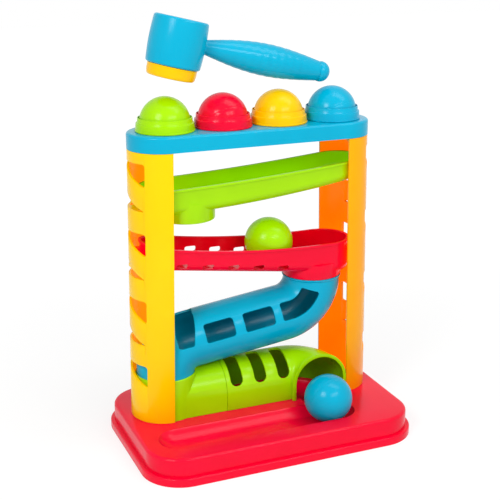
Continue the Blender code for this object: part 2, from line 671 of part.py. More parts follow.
def build_deck():
    """The blue deck: a shallow inverted tray with four holes and the sockets under its ends."""
    corner = DECK_DEPTH / 2
    steps = [(DECK_WALL, DECK_TOP - DECK_WALL), (DECK_WALL, DECK_BOTTOM), (0, DECK_BOTTOM)]
    steps += arc(DECK_EDGE, DECK_TOP - DECK_EDGE, DECK_EDGE, 180, 90, EDGE_STEPS)
    half = DECK_LENGTH / 2 - corner
    rings = [[(x, TOWER_SETBACK + y, z) for x, y in stadium(-half, half, corner - inset, ROUND_STEPS)]
             for inset, z in steps]
    deck = finish("top_deck", loft(bmesh.new(), rings), "blue")
    bore = PEG_RADIUS + FIT_GAP
    places = deck_peg_places(-1) + deck_peg_places(1)
    combine(deck, [cylinder(bore + SOCKET_WALL, DECK_BOTTOM, DECK_TOP - DECK_WALL / 2, x, y, PEG_STEPS)
                   for x, y in places], "UNION")
    cuts = [cylinder(HOLE_RADIUS, DECK_BOTTOM - CUT_OVERRUN, DECK_TOP + CUT_OVERRUN, x, TOWER_SETBACK)
            for x in DECK_BALL_XS]
    cuts += [cylinder(bore, DECK_BOTTOM - CUT_OVERRUN, DECK_BOTTOM + PEG_LENGTH, x, y, PEG_STEPS)
             for x, y in places]
    return combine(deck, cuts, "DIFFERENCE")


def seat_radius(z):
    """Inner radius of the collar, which lies round the ball's lower half."""
    reach = BALL_RADIUS + FIT_GAP
    return sqrt(reach ** 2 - min(DECK_BALL_Z - z, reach) ** 2)


def build_collar(name, x, colour):
    """A soft ring round a ball: flange, crown, and fingers under the ball that spring apart."""
    plate_low = DECK_TOP - DECK_WALL - FIT_GAP
    tip_z = DECK_BALL_Z - FINGER_DROP
    tip = seat_radius(tip_z)
    crown_z = DECK_TOP + COLLAR_CROWN_RISE
    lip_z = DECK_TOP + COLLAR_LIP_RISE
    base_z = DECK_TOP + FIT_GAP
    bore = BALL_RADIUS + FIT_GAP
    profile = [(tip, tip_z), (tip + FINGER_WALL, tip_z)]
    profile += [(COLLAR_NECK_RADIUS - COLLAR_BEAD, plate_low - COLLAR_BEAD_HEIGHT),
                (COLLAR_NECK_RADIUS + COLLAR_BEAD, plate_low - COLLAR_BEAD_HEIGHT / 2),
                (COLLAR_NECK_RADIUS + COLLAR_BEAD, plate_low), (COLLAR_NECK_RADIUS, plate_low),
                (COLLAR_NECK_RADIUS, base_z), (COLLAR_FLANGE_RADIUS, base_z),
                (COLLAR_FLANGE_RADIUS, base_z + COLLAR_FLANGE_HEIGHT), (COLLAR_LIP_RADIUS, lip_z),
                (COLLAR_CROWN_RADIUS, crown_z), (bore, crown_z), (bore, DECK_BALL_Z)]
    seat = [(seat_radius(z), z) for z in (DECK_BALL_Z - FINGER_DROP * k / SEAT_STEPS
                                          for k in range(1, SEAT_STEPS))]
    collar = turned(name, profile + seat, colour, origin=(x, TOWER_SETBACK, 0))
    slits = []
    for k in range(FINGER_COUNT // 2):
        slit = box((-COLLAR_NECK_RADIUS, -FINGER_SLIT / 2, tip_z - CUT_OVERRUN),
                   (COLLAR_NECK_RADIUS, FINGER_SLIT / 2, plate_low - COLLAR_BEAD_HEIGHT - FIT_GAP))
        slit.matrix_world = (Matrix.Translation((x, TOWER_SETBACK, 0))
                             @ Matrix.Rotation(2 * pi * k / FINGER_COUNT, 4, "Z"))
        slits.append(slit)
    return combine(collar, slits, "DIFFERENCE")


# Ramps

UPPER = dict(left=-RAMP_REACH, right=RAMP_REACH,
             floor=(UPPER_FLOOR_Z, UPPER_FLOOR_SLOPE_SHARE, UPPER_FLOOR_RADIUS),
             rim=(UPPER_RIM_Z, UPPER_RIM_SLOPE_SHARE, UPPER_RIM_RADIUS))
MIDDLE = dict(left=-RAMP_REACH, right=RAMP_REACH - MIDDLE_END_INSET,
              floor=(MIDDLE_FLOOR_Z, MIDDLE_FLOOR_SLOPE_SHARE, MIDDLE_FLOOR_RADIUS),
              rim=(MIDDLE_RIM_Z, MIDDLE_RIM_SLOPE_SHARE, MIDDLE_RIM_RADIUS))


def bowed(line, x):
    """Height of a line that slopes and sags as a wide arc, at a place along it."""
    middle, slope, radius = line
    return middle + slope * x + x * x / (2 * radius)


def floor_z(ramp, x):
    """Height of a ramp's underside at a place along it."""
    return bowed(ramp["floor"], x)


def rim_z(ramp, x):
    """Height of a ramp's rim at a place along it."""
    return bowed(ramp["rim"], x)


def lug_z(ramp, side):
    """Height of the lug's underside at one end of a ramp."""
    x = ramp["right"] + RAMP_HALF if side > 0 else ramp["left"] - RAMP_HALF
    return (floor_z(ramp, x) + rim_z(ramp, x)) / 2


def build_lug(ramp, side, colour):
    """The tongue at a ramp's end that lies on the tower's ledge."""
    z = lug_z(ramp, side)
    end = ramp["right"] if side > 0 else -ramp["left"]
    far = tower_x(z) + TOWER_RADIUS - TOWER_WALL - LUG_SEAT
    near = end + RAMP_HALF - RAMP_WALL / 2
    left, right = sorted((side * near, side * far))
    low, high = TOWER_SETBACK - LUG_WIDTH / 2, TOWER_SETBACK + LUG_WIDTH / 2
    return box((left, low, z), (right, high, z + LUG_HEIGHT), colour)


def channel_rings(ramp, steps):
    """Rings round a ramp, each step being how far in, how far up, and whether that is from the rim."""
    rings = []
    for inset, rise, from_rim in steps:
        ring = []
        outline = stadium(ramp["left"], ramp["right"], RAMP_HALF - inset, RAMP_END_STEPS, RAMP_SIDE_STEPS)
        for x, y in outline:
            z = (rim_z(ramp, x) if from_rim else floor_z(ramp, x)) + rise
            ring.append((x, TOWER_SETBACK + y, z))
        rings.append(ring)
    return rings


def channel(name, ramp, colour):
    """An open channel with rounded ends and lower corners and a lip round its rim."""
    corner, wall = RAMP_CORNER, RAMP_WALL
    inner_corner = corner - wall
    steps = [(inset, depth, 0) for inset, depth in arc(corner, corner, corner, 270, 180, EDGE_STEPS)]
    steps += [(0, -RAMP_LIP_HEIGHT, 1), (-RAMP_LIP, -RAMP_LIP_HEIGHT, 1), (-RAMP_LIP, 0, 1), (wall, 0, 1)]
    steps += [(inset + wall, depth + wall, 0)
              for inset, depth in arc(inner_corner, inner_corner, inner_corner, 180, 270, EDGE_STEPS)]
    return finish(name, loft(bmesh.new(), channel_rings(ramp, steps), ladder=RAMP_END_STEPS), colour)


def channel_room(ramp):
    """The room inside a channel, reaching a little into its walls, as a tool that trims what joins it."""
    skin = RAMP_WALL - WELD_SINK
    corner = RAMP_CORNER - RAMP_WALL
    steps = [(skin, CUT_OVERRUN, 1)]
    steps += [(inset + skin, depth + skin, 0)
              for inset, depth in arc(corner, corner, corner, 180, 270, EDGE_STEPS)]
    return finish("tool", loft(bmesh.new(), channel_rings(ramp, steps), ladder=RAMP_END_STEPS), "red")


def build_upper_ramp():
    """The green ramp under the deck, with a round cup that drops the ball at its low left end."""
    ramp = channel("upper_ramp", UPPER, "green")
    x, y = -CUP_REACH, TOWER_SETBACK
    under = floor_z(UPPER, x)
    cup = cylinder(CUP_RADIUS, UPPER_CUP_BOTTOM, under + RAMP_CORNER, x, y, colour="green")
    top = rim_z(UPPER, x) + CUT_OVERRUN
    combine(cup, [channel_room(UPPER)], "DIFFERENCE")
    combine(ramp, [cup, build_lug(UPPER, -1, "green"), build_lug(UPPER, 1, "green")], "UNION")
    return combine(ramp, [cylinder(CUP_BORE, UPPER_CUP_BOTTOM - CUT_OVERRUN, top, x, y)], "DIFFERENCE")


def slot_cutter(x, side):
    """A slot that opens one lower corner of the middle ramp, from its floor's centre strip up its wall."""
    half, r = MIDDLE_SLOT_LENGTH / 2, MIDDLE_SLOT_CORNER
    top = floor_z(MIDDLE, x) + (MIDDLE_SLOT_BACK_RISE if side > 0 else MIDDLE_SLOT_FRONT_RISE)
    low = floor_z(MIDDLE, x) - CUT_OVERRUN
    outline = [(x + half, low)] + arc(x + half - r, top - r, r, 0, 90, EDGE_STEPS)
    outline += arc(x - half + r, top - r, r, 90, 180, EDGE_STEPS) + [(x - half, low)]
    reaches = (MIDDLE_STRIP_WIDTH / 2, RAMP_HALF + CUT_OVERRUN)
    rings = [[(px, TOWER_SETBACK + side * y, pz) for px, pz in outline] for y in reaches]
    return finish("tool", loft(bmesh.new(), rings), "red")


def build_middle_ramp():
    """The red ramp: slotted sides, and a cup with a skirt over the chute's mouth at its low right end."""
    ramp = channel("middle_ramp", MIDDLE, "red")
    x, y = CUP_REACH, TOWER_SETBACK
    skirt = CHUTE_SPIGOT_RADIUS + SKIRT_FIT + SKIRT_WALL
    under = floor_z(MIDDLE, x)
    shoulder = under + RAMP_CORNER
    cup = cylinder(skirt, MIDDLE_CUP_BOTTOM, shoulder, x, y, colour="red")
    combine(cup, [channel_room(MIDDLE)], "DIFFERENCE")
    combine(ramp, [cup, build_lug(MIDDLE, -1, "red"), build_lug(MIDDLE, 1, "red")], "UNION")
    seat_top = CHUTE_HEAD_Z + FIT_GAP
    cuts = [cylinder(CUP_BORE, MIDDLE_CUP_BOTTOM - CUT_OVERRUN, rim_z(MIDDLE, x) + CUT_OVERRUN, x, y),
            cylinder(CHUTE_SPIGOT_RADIUS + SKIRT_FIT, MIDDLE_CUP_BOTTOM - CUT_OVERRUN, seat_top, x, y)]
    cuts += [slot_cutter(MIDDLE_SLOT_INSET - RAMP_REACH + k * MIDDLE_SLOT_PITCH, side)
             for k in range(MIDDLE_SLOT_COUNT) for side in (-1, 1)]
    return combine(ramp, cuts, "DIFFERENCE")


# Chute

def chute_line():
    """The chute's centre line as (x, z, turn), where turn is how far it has tipped, in radians."""
    slope = atan(CHUTE_SLOPE_SHARE)
    head_x = CUP_REACH - CHUTE_HEAD_BEND
    line = [(CUP_REACH, CHUTE_HEAD_Z, pi / 2)]
    bend_z = CHUTE_HEAD_Z - CHUTE_NECK
    steps = HEAD_BEND_STEPS
    for k in range(steps + 1):
        a = (pi / 2 - slope) * k / steps
        line.append((head_x + CHUTE_HEAD_BEND * cos(a), bend_z - CHUTE_HEAD_BEND * sin(a), pi / 2 - a))
    x1, z1, _ = line[-1]
    tail_centre = -CHUTE_TAIL_REACH + CHUTE_TAIL_BEND
    x2 = tail_centre - CHUTE_TAIL_BEND * sin(slope)
    z2 = z1 - (x1 - x2) * CHUTE_SLOPE_SHARE
    run = RUN_STEPS
    line += [(x1 + (x2 - x1) * k / run, z1 + (z2 - z1) * k / run, slope) for k in range(1, run)]
    centre_z = z2 - CHUTE_TAIL_BEND * cos(slope)
    for k in range(TAIL_BEND_STEPS + 1):
        a = slope + (pi / 2 - slope) * k / TAIL_BEND_STEPS
        line.append((tail_centre - CHUTE_TAIL_BEND * sin(a), centre_z + CHUTE_TAIL_BEND * cos(a), a))
    line.append((-CHUTE_TAIL_REACH, CHUTE_TAIL_Z, pi / 2))
    return line


def chute_frame(x, z, turn):
    """Centre, side and up of the chute at a point of its line; side points to the front."""
    return Vector((x, TOWER_SETBACK, z)), Vector((0, -1, 0)), Vector((-sin(turn), 0, cos(turn)))


def chute_frames():
    """Frames along the whole chute, with the length run so far."""
    frames, runs, total, last = [], [], 0, None
    for x, z, turn in chute_line():
        centre, side, up = chute_frame(x, z, turn)
        total += (centre - last).length if last else 0
        last = centre
        frames.append((centre, side, up))
        runs.append(total)
    return frames, runs


def frame_at(frames, runs, s):
    """A frame between two others, at a length along the chute."""
    k = next(i for i in range(1, len(runs)) if runs[i] >= s or i == len(runs) - 1)
    share = (s - runs[k - 1]) / (runs[k] - runs[k - 1])
    low, high = frames[k - 1], frames[k]
    return low[0].lerp(high[0], share), low[1], low[2].lerp(high[2], share).normalized()


def chute_shell(name, start, end):
    """One shell of the chute: a half tube along the line, thinner where it enters the cup's skirt."""
    frames, runs = chute_frames()
    step = frame_at(frames, runs, CHUTE_SPIGOT_HEIGHT)
    k = next(i for i, s in enumerate(runs) if s > CHUTE_SPIGOT_HEIGHT)
    frames = frames[:k] + [step, step] + frames[k:]
    inner = CHUTE_RADIUS - CHUTE_WALL
    gap = 180 / pi * (FIT_GAP / 2) / CHUTE_RADIUS
    arc_steps = ROUND_STEPS // 2
    thin = shell_section(CHUTE_SPIGOT_RADIUS, inner, start + gap, end - gap, arc_steps)
    full = shell_section(CHUTE_RADIUS, inner, start + gap, end - gap, arc_steps)
    sections = [thin] * (k + 1) + [full] * (len(frames) - k - 1)
    return sweep(frames, sections, name, "blue")


def chute_clearance(seat):
    """The room that the chute's lower half and tail take, with a fit all round, down to a seat."""
    frames = [frame for frame in chute_frames()[0] if frame[0].x < 0]
    tail = frames[-1]
    frames[-1] = (Vector((tail[0].x, tail[0].y, seat)), tail[1], tail[2])
    circle = arc(0, 0, CHUTE_RADIUS + FIT_GAP, 0, 360, ROUND_STEPS)[:-1]
    return sweep(frames, [circle] * len(frames), "tool", "blue")


def chute_window(first, length, high=CHUTE_WINDOW_HIGH_ANGLE):
    """A curved cutter for one window in the tube's front, from its low edge up to an angle."""
    frames, runs = chute_frames()
    steps = HEAD_BEND_STEPS
    picked = [frame_at(frames, runs, first + length * k / steps) for k in range(steps + 1)]
    outer, inner = CHUTE_RADIUS + CUT_OVERRUN, CHUTE_RADIUS - CHUTE_WALL - CUT_OVERRUN
    section = shell_section(outer, inner, CHUTE_WINDOW_LOW_ANGLE, high, RAMP_SIDE_STEPS)
    return sweep(picked, [section] * len(picked), "tool", "blue")


def build_chute():
    """Front shell with its row of windows, and the rear shell, which only the tail's window reaches."""
    front = chute_shell("chute_front", -90, 90)
    rear = chute_shell("chute_rear", 90, 270)
    tail = CHUTE_WINDOW_START + (CHUTE_WINDOW_COUNT - 1) * CHUTE_WINDOW_PITCH
    cuts = [chute_window(CHUTE_BEND_WINDOW_START, CHUTE_BEND_WINDOW_LENGTH)]
    cuts += [chute_window(CHUTE_WINDOW_START + k * CHUTE_WINDOW_PITCH, CHUTE_WINDOW_LENGTH)
             for k in range(CHUTE_WINDOW_COUNT - 1)]
    cuts.append(chute_window(tail, CHUTE_WINDOW_LENGTH, CHUTE_TAIL_WINDOW_ANGLE))
    combine(rear, [chute_window(tail, CHUTE_WINDOW_LENGTH, CHUTE_TAIL_WINDOW_ANGLE)], "DIFFERENCE")
    combine(front, cuts, "DIFFERENCE")


# Tunnel

def arch_section(outer, inner, foot):
    """The tunnel's section: a round arch on straight legs, open below; side and up are from its axis."""
    steps = ROUND_STEPS // 2
    return ([(outer, -foot)] + arc(0, 0, outer, 0, 180, steps) + [(-outer, -foot), (-inner, -foot)]
            + arc(0, 0, inner, 180, 0, steps) + [(inner, -foot)])


def tunnel_frames(start):
    """Frames from a start on the straight run, round the bend, to the mouth."""
    bend_x = TUNNEL_MOUTH_X - TUNNEL_BEND
    bend_y = TOWER_SETBACK - TUNNEL_BEND
    z = TUNNEL_AXIS_Z
    up = Vector((0, 0, 1))
    frames = [(Vector((x, TOWER_SETBACK, z)), Vector((0, -1, 0)), up) for x in (start, bend_x)]
    for k in range(1, MOUTH_BEND_STEPS + 1):
        a = pi / 2 * k / MOUTH_BEND_STEPS
        centre = Vector((bend_x + TUNNEL_BEND * sin(a), bend_y + TUNNEL_BEND * cos(a), z))
        frames.append((centre, Vector((-sin(a), -cos(a), 0)), up))
    return frames


def tunnel_slot(x):
    """A cutter for one slot across the tunnel, with round ends, over its front and top."""
    r = TUNNEL_SLOT_WIDTH / 2
    cap = 180 / pi * r / TUNNEL_RADIUS
    low, high = TUNNEL_SLOT_LOW_ANGLE, TUNNEL_SLOT_HIGH_ANGLE
    turns = [radians(a) for a in SLOT_END_ANGLES]
    stations = [(low + cap * (1 - cos(a)), r * sin(a)) for a in turns]
    stations += [(low + (high - low) * k / SLOT_STEPS, r) for k in range(2, SLOT_STEPS - 1)]
    stations += [(high - cap * (1 - cos(a)), r * sin(a)) for a in reversed(turns)]
    inner, outer = TUNNEL_RADIUS - TUNNEL_WALL - CUT_OVERRUN, TUNNEL_RADIUS + CUT_OVERRUN
    rings = []
    for angle, half in stations:
        a = radians(angle)
        ring = []
        for radius, dx in ((inner, -half), (outer, -half), (outer, half), (inner, half)):
            ring.append((x + dx, TOWER_SETBACK - radius * cos(a), TUNNEL_AXIS_Z + radius * sin(a)))
        rings.append(ring)
    return finish("tool", loft(bmesh.new(), rings), "red")


def build_tab(x, colour):
    """A tab behind the tunnel's foot."""
    near = TOWER_SETBACK + TUNNEL_RADIUS - TUNNEL_WALL / 2
    far = TOWER_SETBACK + TUNNEL_RADIUS + TAB_DEPTH
    z = BASE_HEIGHT + FIT_GAP
    return box((x - TAB_LENGTH / 2, near, z), (x + TAB_LENGTH / 2, far, z + TAB_HEIGHT), colour)


def tab_pegs(places):
    """The pegs under the tabs."""
    return [peg(x, y, BASE_HEIGHT + FIT_GAP + TAB_HEIGHT / 2, -1, "green") for x, y in places]


def build_tunnel_cover():
    """The slotted arch that runs along the base and bends to its mouth at the front."""
    foot = TUNNEL_AXIS_Z - BASE_HEIGHT - FIT_GAP
    frames = tunnel_frames(TUNNEL_SEAM + FIT_GAP)
    plain = arch_section(TUNNEL_RADIUS, TUNNEL_RADIUS - TUNNEL_WALL, foot)
    thick = arch_section(TUNNEL_RADIUS + TUNNEL_RIM, TUNNEL_RADIUS - TUNNEL_WALL, foot)
    centre, side, up = frames[-1]
    sections = [plain] * len(frames) + [thick, thick]
    for ahead in (TUNNEL_RIM, TUNNEL_RIM_LENGTH):
        frames.append((centre + Vector((0, -ahead, 0)), side, up))
    cover = sweep(frames, sections, "tunnel_cover", "green")
    places = tab_peg_places()[1:]
    combine(cover, [build_tab(x, "green") for x, y in places] + tab_pegs(places), "UNION")
    middle = (TUNNEL_SEAM + TUNNEL_MOUTH_X - TUNNEL_BEND) / 2
    cuts = [tunnel_slot(middle + TUNNEL_SLOT_PITCH * (k - (TUNNEL_SLOT_COUNT - 1) / 2) + TUNNEL_WALL)
            for k in range(TUNNEL_SLOT_COUNT)]
    return combine(cover, cuts, "DIFFERENCE")


def inlet_arch(radius, low, extra):
    """A solid arch from under the chute's tail to the seam: the outside or the inside of the inlet."""
    y, z = TOWER_SETBACK, TUNNEL_AXIS_Z
    frames = [(Vector((x, y, z)), Vector((0, -1, 0)), Vector((0, 0, 1))) for x in (-CHUTE_TAIL_REACH,
                                                                                  TUNNEL_SEAM + extra)]
    section = [(radius, low - z)] + arc(0, 0, radius, 0, 180, ROUND_STEPS // 2) + [(-radius, low - z)]
    return sweep(frames, [section, section], "tool", "green")


def build_tunnel_inlet():
    """The inlet: a round cup that the chute's tail stands in, opening into the tunnel."""
    x, y = -CHUTE_TAIL_REACH, TOWER_SETBACK
    low = BASE_HEIGHT + FIT_GAP
    seat = CHUTE_TAIL_Z - FIT_GAP
    rim = INLET_CUP_RADIUS - INLET_CUP_EDGE
    cup = turned("tunnel_inlet", [(0, low), (INLET_CUP_RADIUS, low),
                                  (INLET_CUP_RADIUS, INLET_RIM_Z - INLET_CUP_EDGE), (rim, INLET_RIM_Z),
                                  (0, INLET_RIM_Z)], "green", origin=(x, y, 0))
    places = tab_peg_places()[:1]
    arch = inlet_arch(INLET_RADIUS, low, 0)
    combine(cup, [arch] + [build_tab(px, "green") for px, py in places] + tab_pegs(places), "UNION")
    inner = CHUTE_RADIUS - CHUTE_WALL
    cuts = [chute_clearance(seat), cylinder(inner, low - CUT_OVERRUN, seat + CUT_OVERRUN, x, y),
            inlet_arch(INLET_RADIUS - TUNNEL_WALL, low - CUT_OVERRUN, CUT_OVERRUN)]
    return combine(cup, cuts, "DIFFERENCE")


# Hammer

def hammer_turn():
    """The hammer's pose: tipped about Y."""
    return Matrix.Rotation(radians(HAMMER_TILT), 4, "Y")


def handle_radius(u):
    """Radius of the handle at a distance from the head's axis: neck, grip, and waist before the knob."""
    knob_u = HANDLE_END - KNOB_LENGTH
    share = min(max((u - HEAD_RADIUS) / (knob_u - HEAD_RADIUS), 0), 1)
    if share < GRIP_PEAK_SHARE:
        return NECK_RADIUS + (GRIP_RADIUS - NECK_RADIUS) * sin(pi / 2 * share / GRIP_PEAK_SHARE)
    fall = ((share - GRIP_PEAK_SHARE) / (1 - GRIP_PEAK_SHARE)) ** GRIP_FALL_SHARE
    return GRIP_RADIUS - (GRIP_RADIUS - KNOB_RADIUS) * fall


def build_hammer():
    """Head, striking cap and handle, in the pose that the toy is shown in."""
    origin = (HAMMER_X, TOWER_SETBACK, HAMMER_Z)
    turn = hammer_turn()
    top, low = HEAD_HALF_HEIGHT, -HEAD_HALF_HEIGHT
    socket = CAP_RADIUS - CAP_EDGE + FIT_GAP
    socket_z = low + CAP_PLUG + FIT_GAP
    edge = arc(HEAD_RADIUS - HEAD_TAPER - HEAD_EDGE, top - HEAD_EDGE, HEAD_EDGE, 90, 0, EDGE_STEPS + 1)
    head_profile = [(0, top)] + edge
    head_profile += [(HEAD_RADIUS, 0), (HEAD_RADIUS, low + HEAD_WALL / 2)]
    head_profile += [(HEAD_RADIUS - HEAD_WALL / 2, low), (socket, low), (socket, socket_z), (0, socket_z)]
    head = turned("hammer_head", head_profile, "blue", origin, turn=turn)
    combine(head, [handle_tool(origin, turn)], "DIFFERENCE")
    face = low - CAP_DROP
    plug = CAP_RADIUS - CAP_EDGE
    cap_profile = [(0, low + CAP_PLUG), (plug, low + CAP_PLUG), (plug, low - FIT_GAP)]
    cap_profile += [(CAP_RADIUS, low - FIT_GAP), (CAP_RADIUS, low - CAP_DROP / 2)]
    cap_profile += arc(CAP_RADIUS - CAP_TAPER - CAP_EDGE, face + CAP_EDGE, CAP_EDGE, 0, -90, EDGE_STEPS)
    cap_profile += [(0, face)]
    turned("hammer_cap", cap_profile, "yellow", origin, turn=turn)
    build_handle(origin, turn)


def handle_tool(origin, turn):
    """The socket in the head for the handle's tenon."""
    bm = bmesh.new()
    start = HEAD_RADIUS - HANDLE_TENON - FIT_GAP
    end = HEAD_RADIUS + CUT_OVERRUN
    r = NECK_RADIUS + FIT_GAP
    loft(bm, [[(x, py, pz) for py, pz in arc(0, 0, r, 0, 360, ROUND_STEPS)[:-1]] for x in (start, end)])
    bmesh.ops.transform(bm, matrix=Matrix.Translation(origin) @ turn, verts=bm.verts)
    return finish("tool", bm, "red", origin)


def build_handle(origin, turn):
    """The handle, turned along its own axis, with a grooved knob at its end."""
    start = HEAD_RADIUS - HANDLE_TENON
    knob_u = HANDLE_END - KNOB_LENGTH
    stations = [(start, NECK_RADIUS), (HEAD_RADIUS, NECK_RADIUS)]
    for k in range(1, HANDLE_STEPS + 1):
        u = HEAD_RADIUS + (knob_u - HEAD_RADIUS) * k / HANDLE_STEPS
        stations.append((u, handle_radius(u)))
    stations += [(knob_u + KNOB_GROOVE, KNOB_RADIUS - KNOB_GROOVE), (knob_u + 2 * KNOB_GROOVE, KNOB_RADIUS)]
    dome = KNOB_LENGTH - 2 * KNOB_GROOVE
    stations += [(knob_u + 2 * KNOB_GROOVE + dome * sin(radians(a)), KNOB_RADIUS * cos(radians(a)))
                 for a in DOME_ANGLES]
    bm = bmesh.new()
    loft(bm, [[(u, py, pz) for py, pz in arc(0, 0, r, 0, 360, ROUND_STEPS)[:-1]] for u, r in stations])
    bmesh.ops.transform(bm, matrix=Matrix.Translation(origin) @ turn, verts=bm.verts)
    return finish("hammer_handle", bm, "blue", origin)


def build():
    """Clears the scene and builds every piece."""
    for item in list(bpy.data.objects):
        bpy.data.objects.remove(item)
    build_base()
    build_tower(-1, "left_tower")
    build_tower(1, "right_tower")
    build_deck()
    for x, colour in zip(DECK_BALL_XS, BALL_COLOURS):
        build_collar("collar_" + colour, x, colour)
        ball("ball_" + colour, x, TOWER_SETBACK, DECK_BALL_Z, colour)
    build_upper_ramp()
    build_middle_ramp()
    build_chute()
    build_tunnel_cover()
    build_tunnel_inlet()
    floor = floor_z(MIDDLE, RAMP_BALL_X) + RAMP_WALL
    fall = MIDDLE_FLOOR_SLOPE_SHARE + RAMP_BALL_X / MIDDLE_FLOOR_RADIUS
    lift = (BALL_RADIUS + FIT_GAP) * sqrt(1 + fall ** 2)
    ball("ramp_ball", RAMP_BALL_X, TOWER_SETBACK, floor + lift, "green")
    ball("tray_ball", TRAY_BALL_X, TROUGH_Y, TROUGH_FLOOR_Z + FIT_GAP + BALL_RADIUS, "blue")
    build_hammer()


build()
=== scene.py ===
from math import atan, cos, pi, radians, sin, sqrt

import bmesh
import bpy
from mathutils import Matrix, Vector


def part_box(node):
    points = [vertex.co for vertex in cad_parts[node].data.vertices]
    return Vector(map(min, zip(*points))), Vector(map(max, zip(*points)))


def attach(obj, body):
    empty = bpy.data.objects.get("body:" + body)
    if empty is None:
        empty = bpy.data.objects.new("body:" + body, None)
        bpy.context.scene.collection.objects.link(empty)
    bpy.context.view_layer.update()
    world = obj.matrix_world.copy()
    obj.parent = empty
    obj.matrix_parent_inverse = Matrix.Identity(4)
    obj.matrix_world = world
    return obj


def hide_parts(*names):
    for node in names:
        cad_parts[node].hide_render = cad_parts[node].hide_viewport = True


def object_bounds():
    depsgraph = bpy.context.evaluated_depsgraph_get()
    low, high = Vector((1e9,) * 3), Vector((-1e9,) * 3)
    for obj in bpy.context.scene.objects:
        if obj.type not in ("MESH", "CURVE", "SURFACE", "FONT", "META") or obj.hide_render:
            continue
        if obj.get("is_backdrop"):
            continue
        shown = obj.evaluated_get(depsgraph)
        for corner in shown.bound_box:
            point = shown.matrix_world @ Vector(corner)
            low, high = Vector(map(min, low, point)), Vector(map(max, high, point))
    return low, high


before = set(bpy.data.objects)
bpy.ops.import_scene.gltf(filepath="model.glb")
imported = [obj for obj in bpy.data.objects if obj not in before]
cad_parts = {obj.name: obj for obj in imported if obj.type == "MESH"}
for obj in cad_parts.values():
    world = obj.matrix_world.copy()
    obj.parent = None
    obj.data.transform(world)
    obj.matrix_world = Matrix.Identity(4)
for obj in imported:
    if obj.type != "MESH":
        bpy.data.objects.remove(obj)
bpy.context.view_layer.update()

# %% [markdown]
# The object is a moulded plastic toy: a tower on a tray, through which balls are hammered and roll down.
# The imported solids are loaded first and stay where they are. They have few faces, so each visible piece is
# modelled again here with round curves, and then stands for its solid. Lengths are written in millimetres,
# times MM.

MM = 0.001
NEAR = 0.01 * MM
CENTRE_Y = 20.5 * MM
ROUND = 96

# %% [markdown]
# The camera comes first, because everything is seen from it. Its place and lens were worked out from the
# round ends of the deck, the balls and the tray's corners, whose true shapes are known.

# %% Camera
bpy.ops.object.camera_add(location=(-0.3619, -0.8410, 0.4627), rotation=(radians(72.66), 0, radians(-22.74)))
camera = bpy.context.object
camera.data.lens = 75.7
camera.data.sensor_width = 36
bpy.context.scene.camera = camera
bpy.context.scene.view_settings.view_transform = "Standard"
print("camera lens:", camera.data.lens, "mm")

# %% [markdown]
# Operators act on all that is selected, and the loaded solids are selected. So each step first leaves edit
# mode and deselects everything. These few helpers open a piece for editing, pick parts of it by their place,
# extrude them, and put the mesh in order.

# %% Helpers for editing
def deselect():
    """Leaves edit mode and selects nothing."""
    if bpy.context.object and bpy.context.object.mode != "OBJECT":
        bpy.ops.object.mode_set(mode="OBJECT")
    bpy.ops.object.select_all(action="DESELECT")


def take(piece):
    """Makes one piece the only selected one and the active one."""
    deselect()
    piece.select_set(True)
    bpy.context.view_layer.objects.active = piece
    return piece


def edit(piece):
    """Takes one piece and opens it for editing, all selected."""
    take(piece)
    bpy.ops.object.mode_set(mode="EDIT")
    bpy.ops.mesh.select_all(action="SELECT")
    return piece


def start(name):
    """Names the new primitive, moves its place into its mesh and opens it for editing."""
    piece = bpy.context.object
    piece.name = piece.data.name = name
    bpy.ops.object.transform_apply(location=True, rotation=True, scale=True)
    return edit(piece)


def pick(piece, kind, test):
    """Selects the vertices, edges or faces whose middle and normal pass a test, and nothing else."""
    bpy.ops.mesh.select_mode(type={"verts": "VERT", "edges": "EDGE", "faces": "FACE"}[kind])
    bpy.ops.mesh.select_all(action="DESELECT")
    mesh = bmesh.from_edit_mesh(piece.data)
    mesh.normal_update()
    for item in getattr(mesh, kind):
        middle = item.co if kind == "verts" else sum((v.co for v in item.verts), Vector()) / len(item.verts)
        item.select_set(bool(test(middle, item)))
    mesh.select_flush_mode()
    bmesh.update_edit_mesh(piece.data)


def extrude(offset):
    """Extrudes what is selected by an offset."""
    bpy.ops.mesh.extrude_region_move(TRANSFORM_OT_translate={"value": offset})


def bevel(offset, segments):
    """Rounds the selected edges."""
    bpy.ops.mesh.bevel(offset=offset, segments=segments, affect="EDGES")


def clean(piece):
    """Merges doubles, turns the faces outwards and leaves edit mode."""
    edit(piece)
    bpy.ops.mesh.remove_doubles(threshold=0.002 * MM)
    bpy.ops.mesh.normals_make_consistent(inside=False)
    mesh = bmesh.from_edit_mesh(piece.data)
    if all(edge.is_manifold for edge in mesh.edges) and mesh.calc_volume(signed=True) < 0:
        bpy.ops.mesh.flip_normals()
    bpy.ops.object.mode_set(mode="OBJECT")
    return piece


print("editing helpers ready")

# %% [markdown]
# These helpers add one modifier and apply it at once, so that the next step finds plain faces. A Boolean
# leaves doubles behind, so the piece is put in order after each one.

# %% Helpers for modifiers
def modify(piece, kind, **settings):
    """Adds one modifier with its settings and applies it."""
    take(piece)
    step = piece.modifiers.new("step", kind)
    for key, value in settings.items():
        setattr(step, key, value)
    bpy.ops.object.modifier_apply(modifier="step")
    return piece


def thicken(piece, wall, offset=-1, even=False):
    """Gives a skin a wall. Its inside takes the second of two material slots, which are made first."""
    for _ in range(2):
        piece.data.materials.append(None)
    return clean(modify(piece, "SOLIDIFY", thickness=wall, offset=offset, use_even_offset=even,
                        material_offset=1))


def open_edges(piece):
    """How many edges of a piece don't have exactly two faces: none, if it is closed."""
    mesh = bmesh.new()
    mesh.from_mesh(piece.data)
    count = sum(not edge.is_manifold for edge in mesh.edges)
    mesh.free()
    return count


